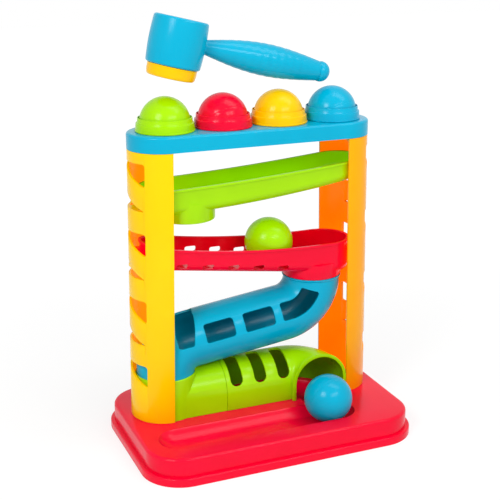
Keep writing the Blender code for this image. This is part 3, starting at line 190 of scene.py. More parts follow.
def combine(piece, operation, *tools, solver="EXACT"):
    """Adds or cuts away tools with Booleans, and removes the tools."""
    for tool in tools:
        modify(piece, "BOOLEAN", operation=operation, object=tool, solver=solver)
        bpy.data.objects.remove(tool)
        clean(piece)
    return piece


def soften(piece, width, segments=2, angle=40):
    """Rounds every edge that is sharper than an angle."""
    return modify(piece, "BEVEL", width=width, segments=segments, limit_method="ANGLE",
                  angle_limit=radians(angle), miter_outer="MITER_ARC", use_clamp_overlap=True)


def arc(cx, cy, radius, first, last, steps):
    """Points of an arc, ends included, with its angles in degrees."""
    turns = [radians(first + (last - first) * k / steps) for k in range(steps + 1)]
    return [(cx + radius * cos(a), cy + radius * sin(a)) for a in turns]


print("modifier helpers ready")

# %% [markdown]
# All the plastic has one recipe. Moulded plastic is never quite even: its colour has faint flow marks, its
# gloss varies where it has been handled, and its skin has a very fine waviness that breaks up reflections.
# The maths of a shader is written as an expression: a small class wraps a socket, and each operator on it
# adds a Math node. A second class holds a node tree and adds every other node by one method.

# %% Classes for shader maths
class Value:
    """A number that varies over the surface. Maths on it adds Math nodes."""

    def __init__(self, finish, socket):
        self.finish = finish
        self.socket = socket

    def math(self, operation, *others):
        return self.finish.node("ShaderNodeMath", {"operation": operation}, *others)

    def __add__(self, other):
        return self.math("ADD", self, other)

    def __mul__(self, other):
        return self.math("MULTIPLY", self, other)


class Finish:
    """The nodes of a material or of the world, which are all added by one method."""

    def __init__(self, owner, shader="Principled BSDF"):
        owner.use_nodes = True
        self.owner = owner
        self.tree = owner.node_tree
        self.shader = self.tree.nodes[shader]

    def feed(self, socket, value):
        """Links a value to a socket, or writes a plain one on it."""
        if isinstance(value, Value):
            self.tree.links.new(value.socket, socket)
        else:
            socket.default_value = value

    def node(self, kind, settings, *values, output=0, **named):
        """Adds a node: its settings first, then its sockets by order or by name."""
        node = self.tree.nodes.new(kind)
        for key, value in settings.items():
            setattr(node, key, value)
        for key, value in [*enumerate(values), *named.items()]:
            self.feed(node.inputs[key.replace("_", " ") if isinstance(key, str) else key], value)
        return Value(self, node.outputs[output])

    def mix(self, share, first, second):
        """Mixes two colours by a share."""
        node = self.tree.nodes.new("ShaderNodeMix")
        node.data_type = "RGBA"
        for key, value in ((0, share), (6, first), (7, second)):
            self.feed(node.inputs[key], value)
        return Value(self, node.outputs[2])

    def set(self, **sockets):
        """Feeds the shader's sockets."""
        for key, value in sockets.items():
            self.feed(self.shader.inputs[key.replace("_", " ")], value)


print("shader classes ready")

# %% [markdown]
# Toys like this are coloured all through, so the base colour does the work, and a coat would be wrong. The
# colours are written as a screen shows them. The insides of thin walls get a deeper colour, which is painted
# shade, and a weak emission of the same colour, which is painted light for the light that falls on their
# other side and comes through.

# %% Plastic and its colours
GLOSS_RANGE = 0.14
SHEEN = 0.16


def linear(red, green, blue):
    """A colour as a screen shows it, 0 to 255, as linear light."""
    shares = (red / 255, green / 255, blue / 255)
    return (*(s / 12.92 if s <= 0.04045 else ((s + 0.055) / 1.055) ** 2.4 for s in shares), 1)


def plastic(name, colour, deep, gloss=0.2, through=0.0):
    """Moulded plastic: flow marks between a colour and a deeper one, uneven gloss and a fine wavy skin.

    Through is the strength of a weak emission: painted light that stands for the light coming through a thin
    wall from its lit side."""
    finish = Finish(bpy.data.materials.new(name))
    place = finish.node("ShaderNodeTexCoord", {}, output=3)
    flow = finish.node("ShaderNodeTexNoise", {}, Vector=place, Scale=14, Detail=3, Roughness=0.55,
                       Distortion=1.2)
    mottled = finish.mix(flow, linear(*colour), linear(*deep))
    finish.set(Base_Color=mottled, Emission_Color=mottled, Emission_Strength=through)
    handled = finish.node("ShaderNodeTexNoise", {}, Vector=place, Scale=45, Detail=4, Roughness=0.6)
    finish.set(Roughness=handled * GLOSS_RANGE + (gloss - GLOSS_RANGE / 2))
    skin = finish.node("ShaderNodeTexNoise", {}, Vector=place, Scale=260, Detail=2, Roughness=0.5)
    bump = finish.node("ShaderNodeBump", {}, Strength=0.18, Distance=0.0002, Height=skin)
    finish.set(Normal=bump, Specular_IOR_Level=SHEEN)
    return finish.owner


FINISHES = {
    "red": plastic("moulded_red", (246, 0, 56), (230, 0, 40)),
    "green": plastic("moulded_green", (170, 230, 0), (152, 212, 0)),
    "blue": plastic("moulded_blue", (0, 176, 210), (0, 160, 196)),
    "yellow": plastic("moulded_yellow", (254, 210, 0), (250, 198, 0)),
    "golden": plastic("moulded_golden", (255, 206, 0), (250, 186, 0)),
    # The right tower is of the same yellow plastic as the left; this amber is the yellow with painted shade.
    "painted_shade_yellow": plastic("moulded_amber", (255, 178, 0), (252, 160, 0)),
}
# The insides: their deeper colours are painted shade, and their emission is painted light.
PAINTED_INSIDES = {
    "red": plastic("moulded_red_inside", (236, 0, 28), (220, 0, 20), through=0.12),
    "green": plastic("moulded_green_inside", (160, 224, 0), (142, 208, 0), through=0.26),
    "shaded": plastic("moulded_green_shaded", (104, 176, 0), (90, 158, 0), gloss=0.28, through=0.05),
    "blue": plastic("moulded_blue_inside", (0, 150, 180), (0, 130, 160), through=0.06),
    "yellow": plastic("moulded_yellow_inside", (255, 152, 0), (255, 138, 0), gloss=0.28, through=0.6),
    "golden": plastic("moulded_golden_inside", (255, 176, 0), (255, 160, 0), gloss=0.28),
    # The right tower's inside: the yellow with deeper painted shade, and painted light from its emission.
    "painted_shade_yellow": plastic("moulded_amber_inside", (255, 124, 0), (255, 112, 0), gloss=0.28, through=0.66),
}
print("finishes:", [finish.name for finish in [*FINISHES.values(), *PAINTED_INSIDES.values()]])

# %% [markdown]
# A finished piece gets its two materials, soft shading that keeps its sharp edges, its CAD node to stand
# for, and the body that it moves with.

# %% Finishing a piece
done = []


def finished(piece, node, body, colour, angle=32, inside=None):
    """Closes a piece's making: materials, shading, body and node."""
    take(piece)
    while len(piece.data.materials) < 2:
        piece.data.materials.append(None)
    piece.data.materials[0] = FINISHES[colour]
    piece.data.materials[1] = PAINTED_INSIDES[inside or colour]
    bpy.ops.object.shade_smooth_by_angle(angle=radians(angle))
    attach(piece, body)
    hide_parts(node)
    done.append(piece)
    print(piece.name, len(piece.data.polygons), "faces,", open_edges(piece), "open edges")
    return piece


# %% [markdown]
# Most pieces of this toy are turned, so the first start is a circle that is extruded up and scaled once for
# each step of its profile.

# %% Turned pieces
def turned(name, profile, closed=False):
    """Draws (radius, height) steps ring by ring about Z. A closed profile ends where it began."""
    deselect()
    radius, height = profile[0]
    bpy.ops.mesh.primitive_circle_add(vertices=ROUND, radius=radius, location=(0, 0, height),
                                      fill_type="NOTHING" if closed else "NGON")
    piece = start(name)
    for (before, low), (after, high) in zip(profile, profile[1:]):
        extrude((0, 0, high - low))
        bpy.ops.transform.resize(value=(after / before, after / before, 1), center_override=(0, 0, high))
    return clean(piece)


def placed(piece, place, turn=(0, 0, 0)):
    """Turns and moves a piece, and leaves its object at the origin."""
    take(piece)
    piece.location = place
    piece.rotation_euler = turn
    bpy.ops.object.transform_apply(location=True, rotation=True, scale=True)
    return piece


print("turning ready")

# %% [markdown]
# The deck and the ramps are long with round ends: a circle whose right half is drawn away, and whose long
# edges are subdivided, so that they can follow a bow later. Drums and blocks are the tools of most cuts. A
# shape that no operator gives is built from its points.

# %% Round-ended outlines and tools
def stadium(name, left, right, radius, z, cuts):
    """A flat face with round ends between two end centres, its long sides cut into steps."""
    deselect()
    bpy.ops.mesh.primitive_circle_add(vertices=ROUND, radius=radius, location=(left, CENTRE_Y, z),
                                      rotation=(0, 0, pi / ROUND))
    piece = start(name)
    pick(piece, "verts", lambda middle, item: middle.x > left)
    bpy.ops.transform.translate(value=(right - left, 0, 0))
    pick(piece, "edges", lambda middle, item: item.calc_length() > (right - left) / 2)
    bpy.ops.mesh.subdivide(number_cuts=cuts)
    bpy.ops.mesh.select_all(action="SELECT")
    bpy.ops.mesh.edge_face_add()
    return piece


def drum(radius, low, high, x):
    """An upright round tool between two heights."""
    deselect()
    bpy.ops.mesh.primitive_cylinder_add(vertices=ROUND, radius=radius, depth=high - low,
                                        location=(x, CENTRE_Y, (low + high) / 2))
    piece = start("tool")
    bpy.ops.object.mode_set(mode="OBJECT")
    return piece


def length_of(edge):
    """The vector from one end of an edge to the other."""
    return edge.verts[1].co - edge.verts[0].co


def block(first, last, corner=0.0, along=None):
    """A straight tool between two corners. Its edges are rounded: all, or those along one axis."""
    deselect()
    low, high = (Vector(tuple(map(end, first, last))) for end in (min, max))
    bpy.ops.mesh.primitive_cube_add(size=1, location=(low + high) / 2, scale=high - low)
    piece = start("tool")
    if along is not None:
        pick(piece, "edges", lambda middle, item: abs(length_of(item)[along]) > 0.1 * MM)
    if corner:
        bevel(corner, 3)
    return clean(piece)


def mesh_tool(points, faces):
    """A tool from points and the faces between them."""
    mesh = bpy.data.meshes.new("tool")
    mesh.from_pydata(points, [], faces)
    piece = bpy.data.objects.new("tool", mesh)
    bpy.context.scene.collection.objects.link(piece)
    return piece


print("starts ready")

# %% [markdown]
# A ball is moulded in two halves that are welded, so a smooth sphere is not quite it: a hairline runs round
# where they meet. The sphere's middle loop is bevelled into a narrow band, and the band's middle sinks by
# about a tenth of a millimetre. Each ball is tipped its own way, as balls come to rest.

# %% Balls
SEAM_WIDTH = 0.3 * MM
SEAM_DEPTH = 0.12 * MM


def ball(name, node, body, colour, tip):
    """A ball at its solid's place, its seam tipped by an angle."""
    low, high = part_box(node)
    deselect()
    bpy.ops.mesh.primitive_uv_sphere_add(segments=ROUND, ring_count=ROUND // 2, radius=(high.z - low.z) / 2)
    piece = start(name)
    pick(piece, "edges", lambda middle, item: all(abs(v.co.z) < NEAR for v in item.verts))
    bevel(SEAM_WIDTH, 2)
    pick(piece, "verts", lambda middle, item: abs(middle.z) < NEAR)
    share = 1 - SEAM_DEPTH / ((high.z - low.z) / 2)
    bpy.ops.transform.resize(value=(share, share, 1), center_override=(0, 0, 0))
    placed(clean(piece), (low + high) / 2, (radians(tip), radians(tip / 2), 0))
    return finished(piece, node, body, colour, angle=60)


DECK_COLOURS = {"green": "green", "red": "red", "yellow": "golden", "blue": "blue"}
for (colour, finish), tip in zip(DECK_COLOURS.items(), (24, -31, 37, -22)):
    ball("round_ball_" + colour, "ball_" + colour, "deck_ball_" + colour, finish, tip)
ball("rolling_ball", "ramp_ball", "ramp_ball", "green", 58)
ball("resting_ball", "tray_ball", "tray_ball", "blue", -66)

# %% [markdown]
# A collar is the soft ring that a ball is struck through. It sits on the deck with a thin foot, rises a
# little inwards to a ledge, and its crown stands round the ball just above the middle, with a gap that shows
# as a dark line. Below the deck it ends in six fingers that spring apart. It is turned as one closed profile,
# and the slits between the fingers are cut afterwards.

# %% Collars
BALL_RADIUS = 22.5 * MM
FIT = 0.3 * MM
DECK_TOP = 289.5 * MM
BALL_Z = 296.9 * MM
BALL_XS = [-80.85 * MM, -26.95 * MM, 26.95 * MM, 80.85 * MM]
COLLAR_NECK = 24.2 * MM
BEAD = 24.8 * MM
FLANGE_ROUND = 0.4 * MM
LEDGE_RISE = 7.6 * MM
CROWN_RISE = 12 * MM
CROWN_GAP = 0.5 * MM
FINGER_DROP = 12.5 * MM
SLIT = 1.6 * MM
SLIT_TOP = 284.8 * MM


def collar(name, node, x, colour):
    """One collar about its ball's place."""
    reach = BALL_RADIUS + FIT
    foot = DECK_TOP + FIT
    tip_z = BALL_Z - FINGER_DROP
    tip = sqrt(reach ** 2 - FINGER_DROP ** 2)
    crown = DECK_TOP + CROWN_RISE
    ledge_z = DECK_TOP + LEDGE_RISE
    profile = [(tip, tip_z), (tip + 1.5 * MM, tip_z), (COLLAR_NECK - 0.1 * MM, 285.5 * MM),
               (BEAD, 286.2 * MM), (BEAD, 286.9 * MM), (COLLAR_NECK, 287 * MM), (COLLAR_NECK, foot),
               (26.2 * MM, foot)]
    profile += arc(26 * MM, foot + 1 * MM, FLANGE_ROUND, 0, 90, 4)
    profile += [(25.9 * MM, foot + 1.45 * MM), (25.5 * MM, ledge_z - 1 * MM)]
    profile += arc(25 * MM, ledge_z - 0.5 * MM, FLANGE_ROUND, 0, 90, 4)
    profile += [(24.35 * MM, ledge_z), (24.15 * MM, ledge_z + 0.3 * MM)]
    profile += arc(23.65 * MM, crown - 0.35 * MM, 0.35 * MM, 10, 90, 4)
    profile += [(reach + CROWN_GAP, crown), (reach + CROWN_GAP, BALL_Z + 1.2 * MM)]
    profile += [(sqrt(reach ** 2 - drop ** 2), BALL_Z - drop)
                for drop in (FINGER_DROP * k / 8 for k in range(8))]
    piece = placed(turned(name, profile + profile[:1], closed=True), (x, CENTRE_Y, 0))
    for k in range(3):
        slit = block((-26 * MM, -SLIT / 2, tip_z - 3 * MM), (26 * MM, SLIT / 2, SLIT_TOP))
        combine(piece, "DIFFERENCE", placed(slit, (x, CENTRE_Y, 0), (0, 0, pi * k / 3)))
    return finished(piece, node, "bench", colour)


for x, (colour, finish) in zip(BALL_XS, DECK_COLOURS.items()):
    collar("ring_" + colour, "collar_" + colour, x, finish)

# %% [markdown]
# The deck is a shallow tray turned upside down, with full round ends. The outline is extruded up, its top
# edge is rounded with a bevel, the open underside gets its wall from a Solidify modifier, and the four
# holes are bored last.

# %% Deck
DECK_BOTTOM = 275.3 * MM
DECK_RADIUS = 31.2 * MM
DECK_END = 84 * MM
DECK_WALL = 2.2 * MM
DECK_EDGE = 2.4 * MM
HOLE_RADIUS = 24.5 * MM

deck = stadium("deck_plate", -DECK_END, DECK_END, DECK_RADIUS, DECK_BOTTOM, 1)
bpy.ops.mesh.select_all(action="SELECT")
extrude((0, 0, DECK_TOP - DECK_BOTTOM))
pick(deck, "edges", lambda middle, item: all(v.co.z > DECK_TOP - NEAR for v in item.verts))
bevel(DECK_EDGE, 6)
pick(deck, "faces", lambda middle, item: item.normal.z < -0.9 and middle.z < DECK_BOTTOM + NEAR)
bpy.ops.mesh.delete(type="FACE")
thicken(clean(deck), DECK_WALL, even=True)
bores = [drum(HOLE_RADIUS, DECK_BOTTOM - 3 * MM, DECK_TOP + 3 * MM, x) for x in BALL_XS]
combine(deck, "DIFFERENCE", *bores)
finished(deck, "top_deck", "bench", "blue")

# %% [markdown]
# Each tower is a half-round column, open towards the other, that leans out a little towards its foot.
# Slanting struts are left between pairs of three-cornered windows. A window is cut by a prism with rounded
# corners, pushed through the wall from the side.

# %% Windows of the towers
TOWER_RADIUS = 31 * MM
TOWER_WALL = 2 * MM
TOWER_LOW = 24.9 * MM
TOWER_HIGH = 275.0 * MM
TOP_REACH = 84 * MM
FOOT_REACH = 88 * MM
WINDOW_REACH = 21 * MM
WINDOW_HEIGHT = 21 * MM
WINDOW_PITCH = 62 * MM
WINDOW_TOP = 9.5 * MM
STRUT = 21 * MM
WINDOW_ROUND = 2.4 * MM


def tower_x(z):
    """How far a tower's open side stands from the middle at a height."""
    return FOOT_REACH + (TOP_REACH - FOOT_REACH) * (z - TOWER_LOW) / (TOWER_HIGH - TOWER_LOW)


def prism(corners, x, depth, corner):
    """A tool whose outline of (y, z) corners is extruded along X, its long edges rounded."""
    piece = edit(mesh_tool([(x, y, z) for y, z in corners], [tuple(range(len(corners)))]))
    extrude((depth, 0, 0))
    pick(piece, "edges", lambda middle, item: abs(length_of(item).x) > abs(depth) / 2)
    bevel(corner, 5)
    return clean(piece)


def window_outlines():
    """The (y, z) corners of every window up a tower."""
    outlines = []
    for k in range(4):
        top = TOWER_HIGH - WINDOW_TOP - k * WINDOW_PITCH
        low = top - WINDOW_HEIGHT
        foot = low - STRUT
        front, rear = CENTRE_Y - WINDOW_REACH, CENTRE_Y + WINDOW_REACH
        outlines.append([(front, top), (front, low), (rear, top)])
        if k < 3:
            outlines.append([(rear, foot), (rear, foot + WINDOW_HEIGHT), (front, foot)])
    return outlines


print("windows up a tower:", len(window_outlines()))

# %% [markdown]
# Two things inside a tower hold the rest: half a disc closes its top under the deck, with a bay where the
# end ball comes down, and on two small ledges lie the lugs of the ramps. They are joined to the wall after
# its edges are softened, so that the joint stays crisp.

# %% Insides of the towers
LEDGES = {-1: (223.4 * MM, 170.2 * MM), 1: (242.6 * MM, 159.6 * MM)}
LEDGE_HALF = 10 * MM
LEDGE_HEIGHT = 3 * MM
BALL_ROOM = 24.9 * MM
PLATE = 2.2 * MM


def top_plate(side):
    """Half a disc that closes the tower's top, with a bay where the ball comes down."""
    high = TOWER_HIGH - 0.5 * MM
    plate = edit(drum(TOWER_RADIUS - TOWER_WALL / 2, high - PLATE, high, side * TOP_REACH))
    bpy.ops.mesh.bisect(plane_co=(side * (TOP_REACH + 0.4 * MM), 0, 0), plane_no=(side, 0, 0), use_fill=True,
                        clear_inner=True)
    return combine(clean(plate), "DIFFERENCE",
                   drum(BALL_ROOM, high - 6 * MM, high + 4 * MM, side * BALL_XS[-1]))


def ledge(side, high):
    """The ledge inside the wall that a ramp's lug lies on."""
    near, far = side * (tower_x(high) + 23.6 * MM), side * (tower_x(high) + 29.2 * MM)
    return block((near, CENTRE_Y - LEDGE_HALF, high - LEDGE_HEIGHT), (far, CENTRE_Y + LEDGE_HALF, high))


print("ledges at", [round(high / MM, 1) for side in (-1, 1) for high in LEDGES[side]], "mm")

# %% [markdown]
# The column itself: half a circle is extruded up and its top moved in, and Solidify gives it its wall, with
# the inside in the second material.

# %% Towers
def tower(name, node, side, colour):
    """One tower: side -1 is the left one."""
    deselect()
    bpy.ops.mesh.primitive_circle_add(vertices=2 * ROUND, radius=TOWER_RADIUS,
                                      location=(side * FOOT_REACH, CENTRE_Y, TOWER_LOW))
    piece = start(name)
    pick(piece, "verts", lambda middle, item: side * middle.x < FOOT_REACH - NEAR)
    bpy.ops.mesh.delete(type="VERT")
    bpy.ops.mesh.select_all(action="SELECT")
    extrude((side * (TOP_REACH - FOOT_REACH), 0, TOWER_HIGH - TOWER_LOW))
    clean(piece)
    outward = piece.data.polygons[0].normal.x * side
    thicken(piece, TOWER_WALL, -1 if outward > 0 else 1)
    tools = [prism(outline, side * FOOT_REACH, side * (TOWER_RADIUS + 4 * MM), WINDOW_ROUND)
             for outline in window_outlines()]
    combine(piece, "DIFFERENCE", *tools)
    soften(piece, 0.45 * MM, 2, 55)
    combine(piece, "UNION", top_plate(side), *[ledge(side, high) for high in LEDGES[side]])
    return finished(piece, node, "bench", colour)


tower("left_column", "left_tower", -1, "yellow")
# The right tower takes the yellow with painted shade.
tower("right_column", "right_tower", 1, "painted_shade_yellow")

# %% [markdown]
# A ramp is an open channel with round ends. It is made flat and bowed afterwards: every point is lifted
# between the ramp's two curved lines, the floor's and the rim's.

# %% Curves of the ramps
RAMP_HALF = 25.5 * MM
RAMP_WALL = 1.8 * MM
RAMP_CORNER = 9 * MM
RAMP_REACH = 81 * MM
MIDDLE_END = 73 * MM
CUP_X = 62.8 * MM
CUP_BORE = 23.1 * MM
BAND = 2.2 * MM
LIP = 0.9 * MM
DEPTH = 24 * MM
FLOOR_STRIPS = 20


def upper_floor(x):
    """Height of the upper ramp's underside."""
    return 222.3 * MM + 0.09 * x + x * x / 2.5


def upper_rim(x):
    """Height of the upper ramp's rim."""
    return 245.5 * MM + 0.065 * x + x * x / 5


def middle_floor(x):
    """Height of the middle ramp's underside."""
    return 155.5 * MM - 0.135 * x + x * x / 40


def middle_rim(x):
    """Height of the middle ramp's rim."""
    return 178 * MM - 0.072 * x + x * x / 1.66


def copied(piece, name):
    """A copy with its own mesh."""
    copy = piece.copy()
    copy.data = piece.data.copy()
    copy.name = name
    bpy.context.scene.collection.objects.link(copy)
    return copy


def bowed(piece, floor, rim):
    """Lifts a flat channel between the lines of its floor and its rim."""
    for vert in piece.data.vertices:
        x, z = vert.co.x, vert.co.z
        if z <= RAMP_CORNER:
            vert.co.z = floor(x) + z
        elif z >= DEPTH - BAND - NEAR:
            vert.co.z = rim(x) + z - DEPTH
        else:
            share = (z - RAMP_CORNER) / (DEPTH - BAND - RAMP_CORNER)
            vert.co.z = floor(x) + RAMP_CORNER + share * (rim(x) - BAND - floor(x) - RAMP_CORNER)
    return piece


print("fall of the upper ramp's floor:", round((upper_floor(CUP_X) - upper_floor(-CUP_X)) / MM, 1), "mm")

# %% [markdown]
# The outline is extruded up to a wall, the floor's edge gets a wide bevel, Solidify makes the wall, and the
# top band is drawn outwards as the lip. The floor is first bisected into strips across the ramp, because one
# wide face would stay flat and stand above the curve. A drawn-in and closed copy of the skin is kept as a
# tool that trims the cup under the floor.

# %% A channel
def channel(name, left, right, floor, rim):
    """A channel with wall and lip, and the room inside it as a tool."""
    piece = stadium(name, left, right, RAMP_HALF, 0, 2 * FLOOR_STRIPS - 1)
    extrude((0, 0, DEPTH - BAND))
    extrude((0, 0, BAND))
    pick(piece, "faces", lambda middle, item: item.normal.z > 0.9)
    bpy.ops.mesh.delete(type="FACE")
    pick(piece, "edges",
         lambda middle, item: item.is_manifold and all(v.co.z < NEAR for v in item.verts))
    bevel(RAMP_CORNER, 8)
    over = RAMP_HALF * sin(pi / ROUND)
    for k in range(FLOOR_STRIPS + 1):
        x = left - over + (right - left + 2 * over) * k / FLOOR_STRIPS
        bpy.ops.mesh.select_all(action="SELECT")
        bpy.ops.mesh.bisect(plane_co=(x, 0, 0), plane_no=(1, 0, 0))
    clean(piece)
    room = edit(copied(piece, "tool"))
    bpy.ops.transform.shrink_fatten(value=-1.3 * MM)
    pick(room, "edges", lambda middle, item: item.is_boundary)
    extrude((0, 0, 20 * MM))
    bpy.ops.mesh.edge_face_add()
    clean(room)
    edit(thicken(piece, RAMP_WALL, even=True))

    def outside_band(middle, item):
        """Whether a face is on the outside of the top band."""
        axis = Vector((min(max(middle.x, left), right), CENTRE_Y, middle.z))
        return middle.z > DEPTH - BAND and (middle - axis).length > RAMP_HALF - 0.4 * MM

    pick(piece, "faces", outside_band)
    bpy.ops.mesh.extrude_region_shrink_fatten(TRANSFORM_OT_shrink_fatten={"value": LIP})
    clean(piece)
    soften(piece, 0.35 * MM, 2, 60)
    return bowed(piece, floor, rim), bowed(room, floor, rim)


print("channel ready")

# %% [markdown]
# A lug at each end lies on the tower's ledge. Under the low end hangs a cup: a turned ring, trimmed by the
# ramp's room. The bore that the ball drops through comes last. Under the red cup it is widened for the chute.

# %% Ramps
LUG_HALF = 8 * MM
LUG_HEIGHT = 4 * MM
CUP_INSIDE = 22 * MM
UPPER_CUP, UPPER_CUP_LOW = 26 * MM, 209.5 * MM
MIDDLE_CUP, MIDDLE_CUP_LOW = 28 * MM, 141.9 * MM
CHUTE_SEAT, CHUTE_SEAT_TOP = 26.6 * MM, 143.3 * MM


def lug(side, end, floor, rim):
    """The tongue at a ramp's end that lies on the tower's ledge."""
    reach = end + side * RAMP_HALF
    z = (floor(reach) + rim(reach)) / 2
    near, far = reach - side * 1.1 * MM, side * (tower_x(z) + 26.8 * MM)
    return block((near, CENTRE_Y - LUG_HALF, z), (far, CENTRE_Y + LUG_HALF, z + LUG_HEIGHT), 0.4 * MM)


def foot_cup(x, radius, low, floor, room):
    """The cup under a ramp's low end: a turned ring, trimmed by the ramp's room."""
    high = floor(x) + RAMP_CORNER
    cup = turned("tool", [(radius - 1 * MM, low), (radius - 0.3 * MM, low + 0.3 * MM), (radius, low + 1 * MM),
                          (radius, high)])
    placed(cup, (x, CENTRE_Y, 0))
    return combine(cup, "DIFFERENCE", room, drum(CUP_INSIDE, low - 5 * MM, high + 5 * MM, x))


upper, upper_room = channel("upper_channel", -RAMP_REACH, RAMP_REACH, upper_floor, upper_rim)
combine(upper, "UNION", foot_cup(-CUP_X, UPPER_CUP, UPPER_CUP_LOW, upper_floor, upper_room),
        lug(-1, -RAMP_REACH, upper_floor, upper_rim), lug(1, RAMP_REACH, upper_floor, upper_rim),
        solver="MANIFOLD")
combine(upper, "DIFFERENCE", drum(CUP_BORE, 200 * MM, 260 * MM, -CUP_X), solver="MANIFOLD")
finished(upper, "upper_ramp", "bench", "green")

middle, middle_room = channel("middle_channel", -RAMP_REACH, MIDDLE_END, middle_floor, middle_rim)
combine(middle, "UNION", foot_cup(CUP_X, MIDDLE_CUP, MIDDLE_CUP_LOW, middle_floor, middle_room),
        lug(-1, -RAMP_REACH, middle_floor, middle_rim), lug(1, MIDDLE_END, middle_floor, middle_rim))
combine(middle, "DIFFERENCE", drum(CUP_BORE, 130 * MM, 190 * MM, CUP_X),
        drum(CHUTE_SEAT, 130 * MM, CHUTE_SEAT_TOP, CUP_X))
print("red ramp reaches x", round(max(v.co.x for v in middle.data.vertices) / MM, 1), "mm")

# %% [markdown]
# The middle ramp is slotted low in both walls and along both edges of its floor, with a narrow strip between
# the two rows. A slot is a block with four rounded edges, pushed through the wall or the floor.

# %% Slots of the middle ramp
SLOT_HALF = 5.6 * MM
SLOT_PITCH = 24.6 * MM
FIRST_SLOT = -76 * MM
SLOT_CORNER = 1.9 * MM
for x in (FIRST_SLOT + k * SLOT_PITCH for k in range(5)):
    left, right, floor = x - SLOT_HALF, x + SLOT_HALF, middle_floor(x)
    for way, low, high in ((-1, 3.4 * MM, 7.8 * MM), (1, 6.6 * MM, 11.6 * MM)):
        wall_slot = block((left, CENTRE_Y + way * 21 * MM, floor + low),
                          (right, CENTRE_Y + way * 29 * MM, floor + high), SLOT_CORNER, 1)
        floor_slot = block((left, CENTRE_Y + way * 11 * MM, floor - 6 * MM),
                           (right, CENTRE_Y + way * 19 * MM, floor + 5 * MM), SLOT_CORNER, 2)
        combine(middle, "DIFFERENCE", wall_slot, floor_slot)
finished(middle, "middle_ramp", "bench", "red")

# %% [markdown]
# The chute is the hardest piece: a tube that leaves the cup straight down, bends to a shallow run and turns
# down again inside the left tower. Its way is worked out first, as two arcs with a straight run between
# them, because the shells, their windows and the room for its tail in the inlet all follow it.

# %% The chute's way
CHUTE_RADIUS = 27 * MM
CHUTE_WALL = 2 * MM
HEAD_Z = 143 * MM
NECK = 4.2 * MM
NECK_OUTSIDE = 25.9 * MM
HEAD_BEND = 34.5 * MM
SLOPE = atan(0.13)
TAIL_X = -86 * MM
TAIL_BEND = 28 * MM
TAIL_Z = 52 * MM

head_centre = Vector((CUP_X - HEAD_BEND, CENTRE_Y, HEAD_Z - NECK))
run_start = head_centre + HEAD_BEND * Vector((sin(SLOPE), 0, -cos(SLOPE)))
tail_centre_x = TAIL_X + TAIL_BEND
run_end_x = tail_centre_x - TAIL_BEND * sin(SLOPE)
run_length = (run_start.x - run_end_x) / cos(SLOPE)
run_way = Vector((-cos(SLOPE), 0, -sin(SLOPE)))
run_end = run_start + run_way * run_length
tail_centre = run_end + TAIL_BEND * Vector((sin(SLOPE), 0, -cos(SLOPE)))
head_length = HEAD_BEND * (pi / 2 - SLOPE)
tail_length = TAIL_BEND * (pi / 2 - SLOPE)


def chute_at(s):
    """Centre and upward direction of the chute at a length along it."""
    if s < NECK:
        return Vector((CUP_X, CENTRE_Y, HEAD_Z - s)), Vector((-1, 0, 0))
    if s < NECK + head_length:
        a = (s - NECK) / HEAD_BEND
        return head_centre + HEAD_BEND * Vector((cos(a), 0, -sin(a))), Vector((-cos(a), 0, sin(a)))
    if s < NECK + head_length + run_length:
        return run_start + run_way * (s - NECK - head_length), Vector((-sin(SLOPE), 0, cos(SLOPE)))
    a = SLOPE + min((s - NECK - head_length - run_length) / TAIL_BEND, pi / 2 - SLOPE)
    return tail_centre + TAIL_BEND * Vector((-sin(a), 0, cos(a))), Vector((-sin(a), 0, cos(a)))


print("chute: run", round(run_length / MM, 1), "mm, tail centre", [round(v / MM, 1) for v in tail_centre])

# %% [markdown]
# A window has to bend with the tube, so its tool is a patch of the tube's own surface, thickened both ways.
# Its rows of points are drawn in at both ends, which gives round corners. The last window leans and goes
# over the tube's top.

# %% Patches of a curved surface, as tools
TOOL_REACH = 4 * MM
WINDOW_CORNER = 3.2 * MM


def rounded_rows(length, corner, between):
    """Ways along an opening with round corners, and how far its sides draw in at each."""
    end = [corner * (1 - cos(radians(15 * k))) for k in range(1, 7)]
    straight = length - 2 * corner
    ways = end + [corner + straight * k / between for k in range(1, between)]
    ways += [length - t for t in reversed(end)]
    short = [max(0, corner - t, corner - length + t) for t in ways]
    return [(t, corner - sqrt(corner ** 2 - s ** 2)) for t, s in zip(ways, short)]


def patch_tool(rows):
    """A tool from a grid of points on a curved wall, thickened both ways."""
    across = len(rows[0])
    faces = [(i, i + 1, i + across + 1, i + across)
             for r in range(len(rows) - 1) for i in range(r * across, (r + 1) * across - 1)]
    piece = clean(mesh_tool([point for row in rows for point in row], faces))
    return clean(modify(piece, "SOLIDIFY", thickness=2 * TOOL_REACH, offset=0))


def on_tube(centre, up, radius, angle):
    """A point on a tube's wall, at an angle from its front towards its top."""
    return centre + radius * (Vector((0, -1, 0)) * cos(angle) + up * sin(angle))


def chute_window(first, length, low, top, lean=0.0, rise=0):
    """The tool for one window between two angles. Its sides may lean and its lower edge rise."""
    middle = CHUTE_RADIUS - CHUTE_WALL / 2
    rows = []
    for t, inset in rounded_rows(length, WINDOW_CORNER, max(4, round(length / (3 * MM)))):
        row = []
        for j in range(9):
            foot = low + rise * t / length
            angle = radians(foot + (top - foot) * j / 8) + inset / middle * (1 - j / 4)
            row.append(on_tube(*chute_at(first + t - lean * j / 8), middle, angle))
        rows.append(row)
    return patch_tool(rows)


print("window tools ready")

# %% [markdown]
# The tube is two shells that meet along the middle. Each starts as half a circle, which is extruded and spun
# along the way, so the bends are true arcs. A flared ring stands round the neck, under the red cup. The front
# shell has all the windows. The one over the top goes on into the rear shell.

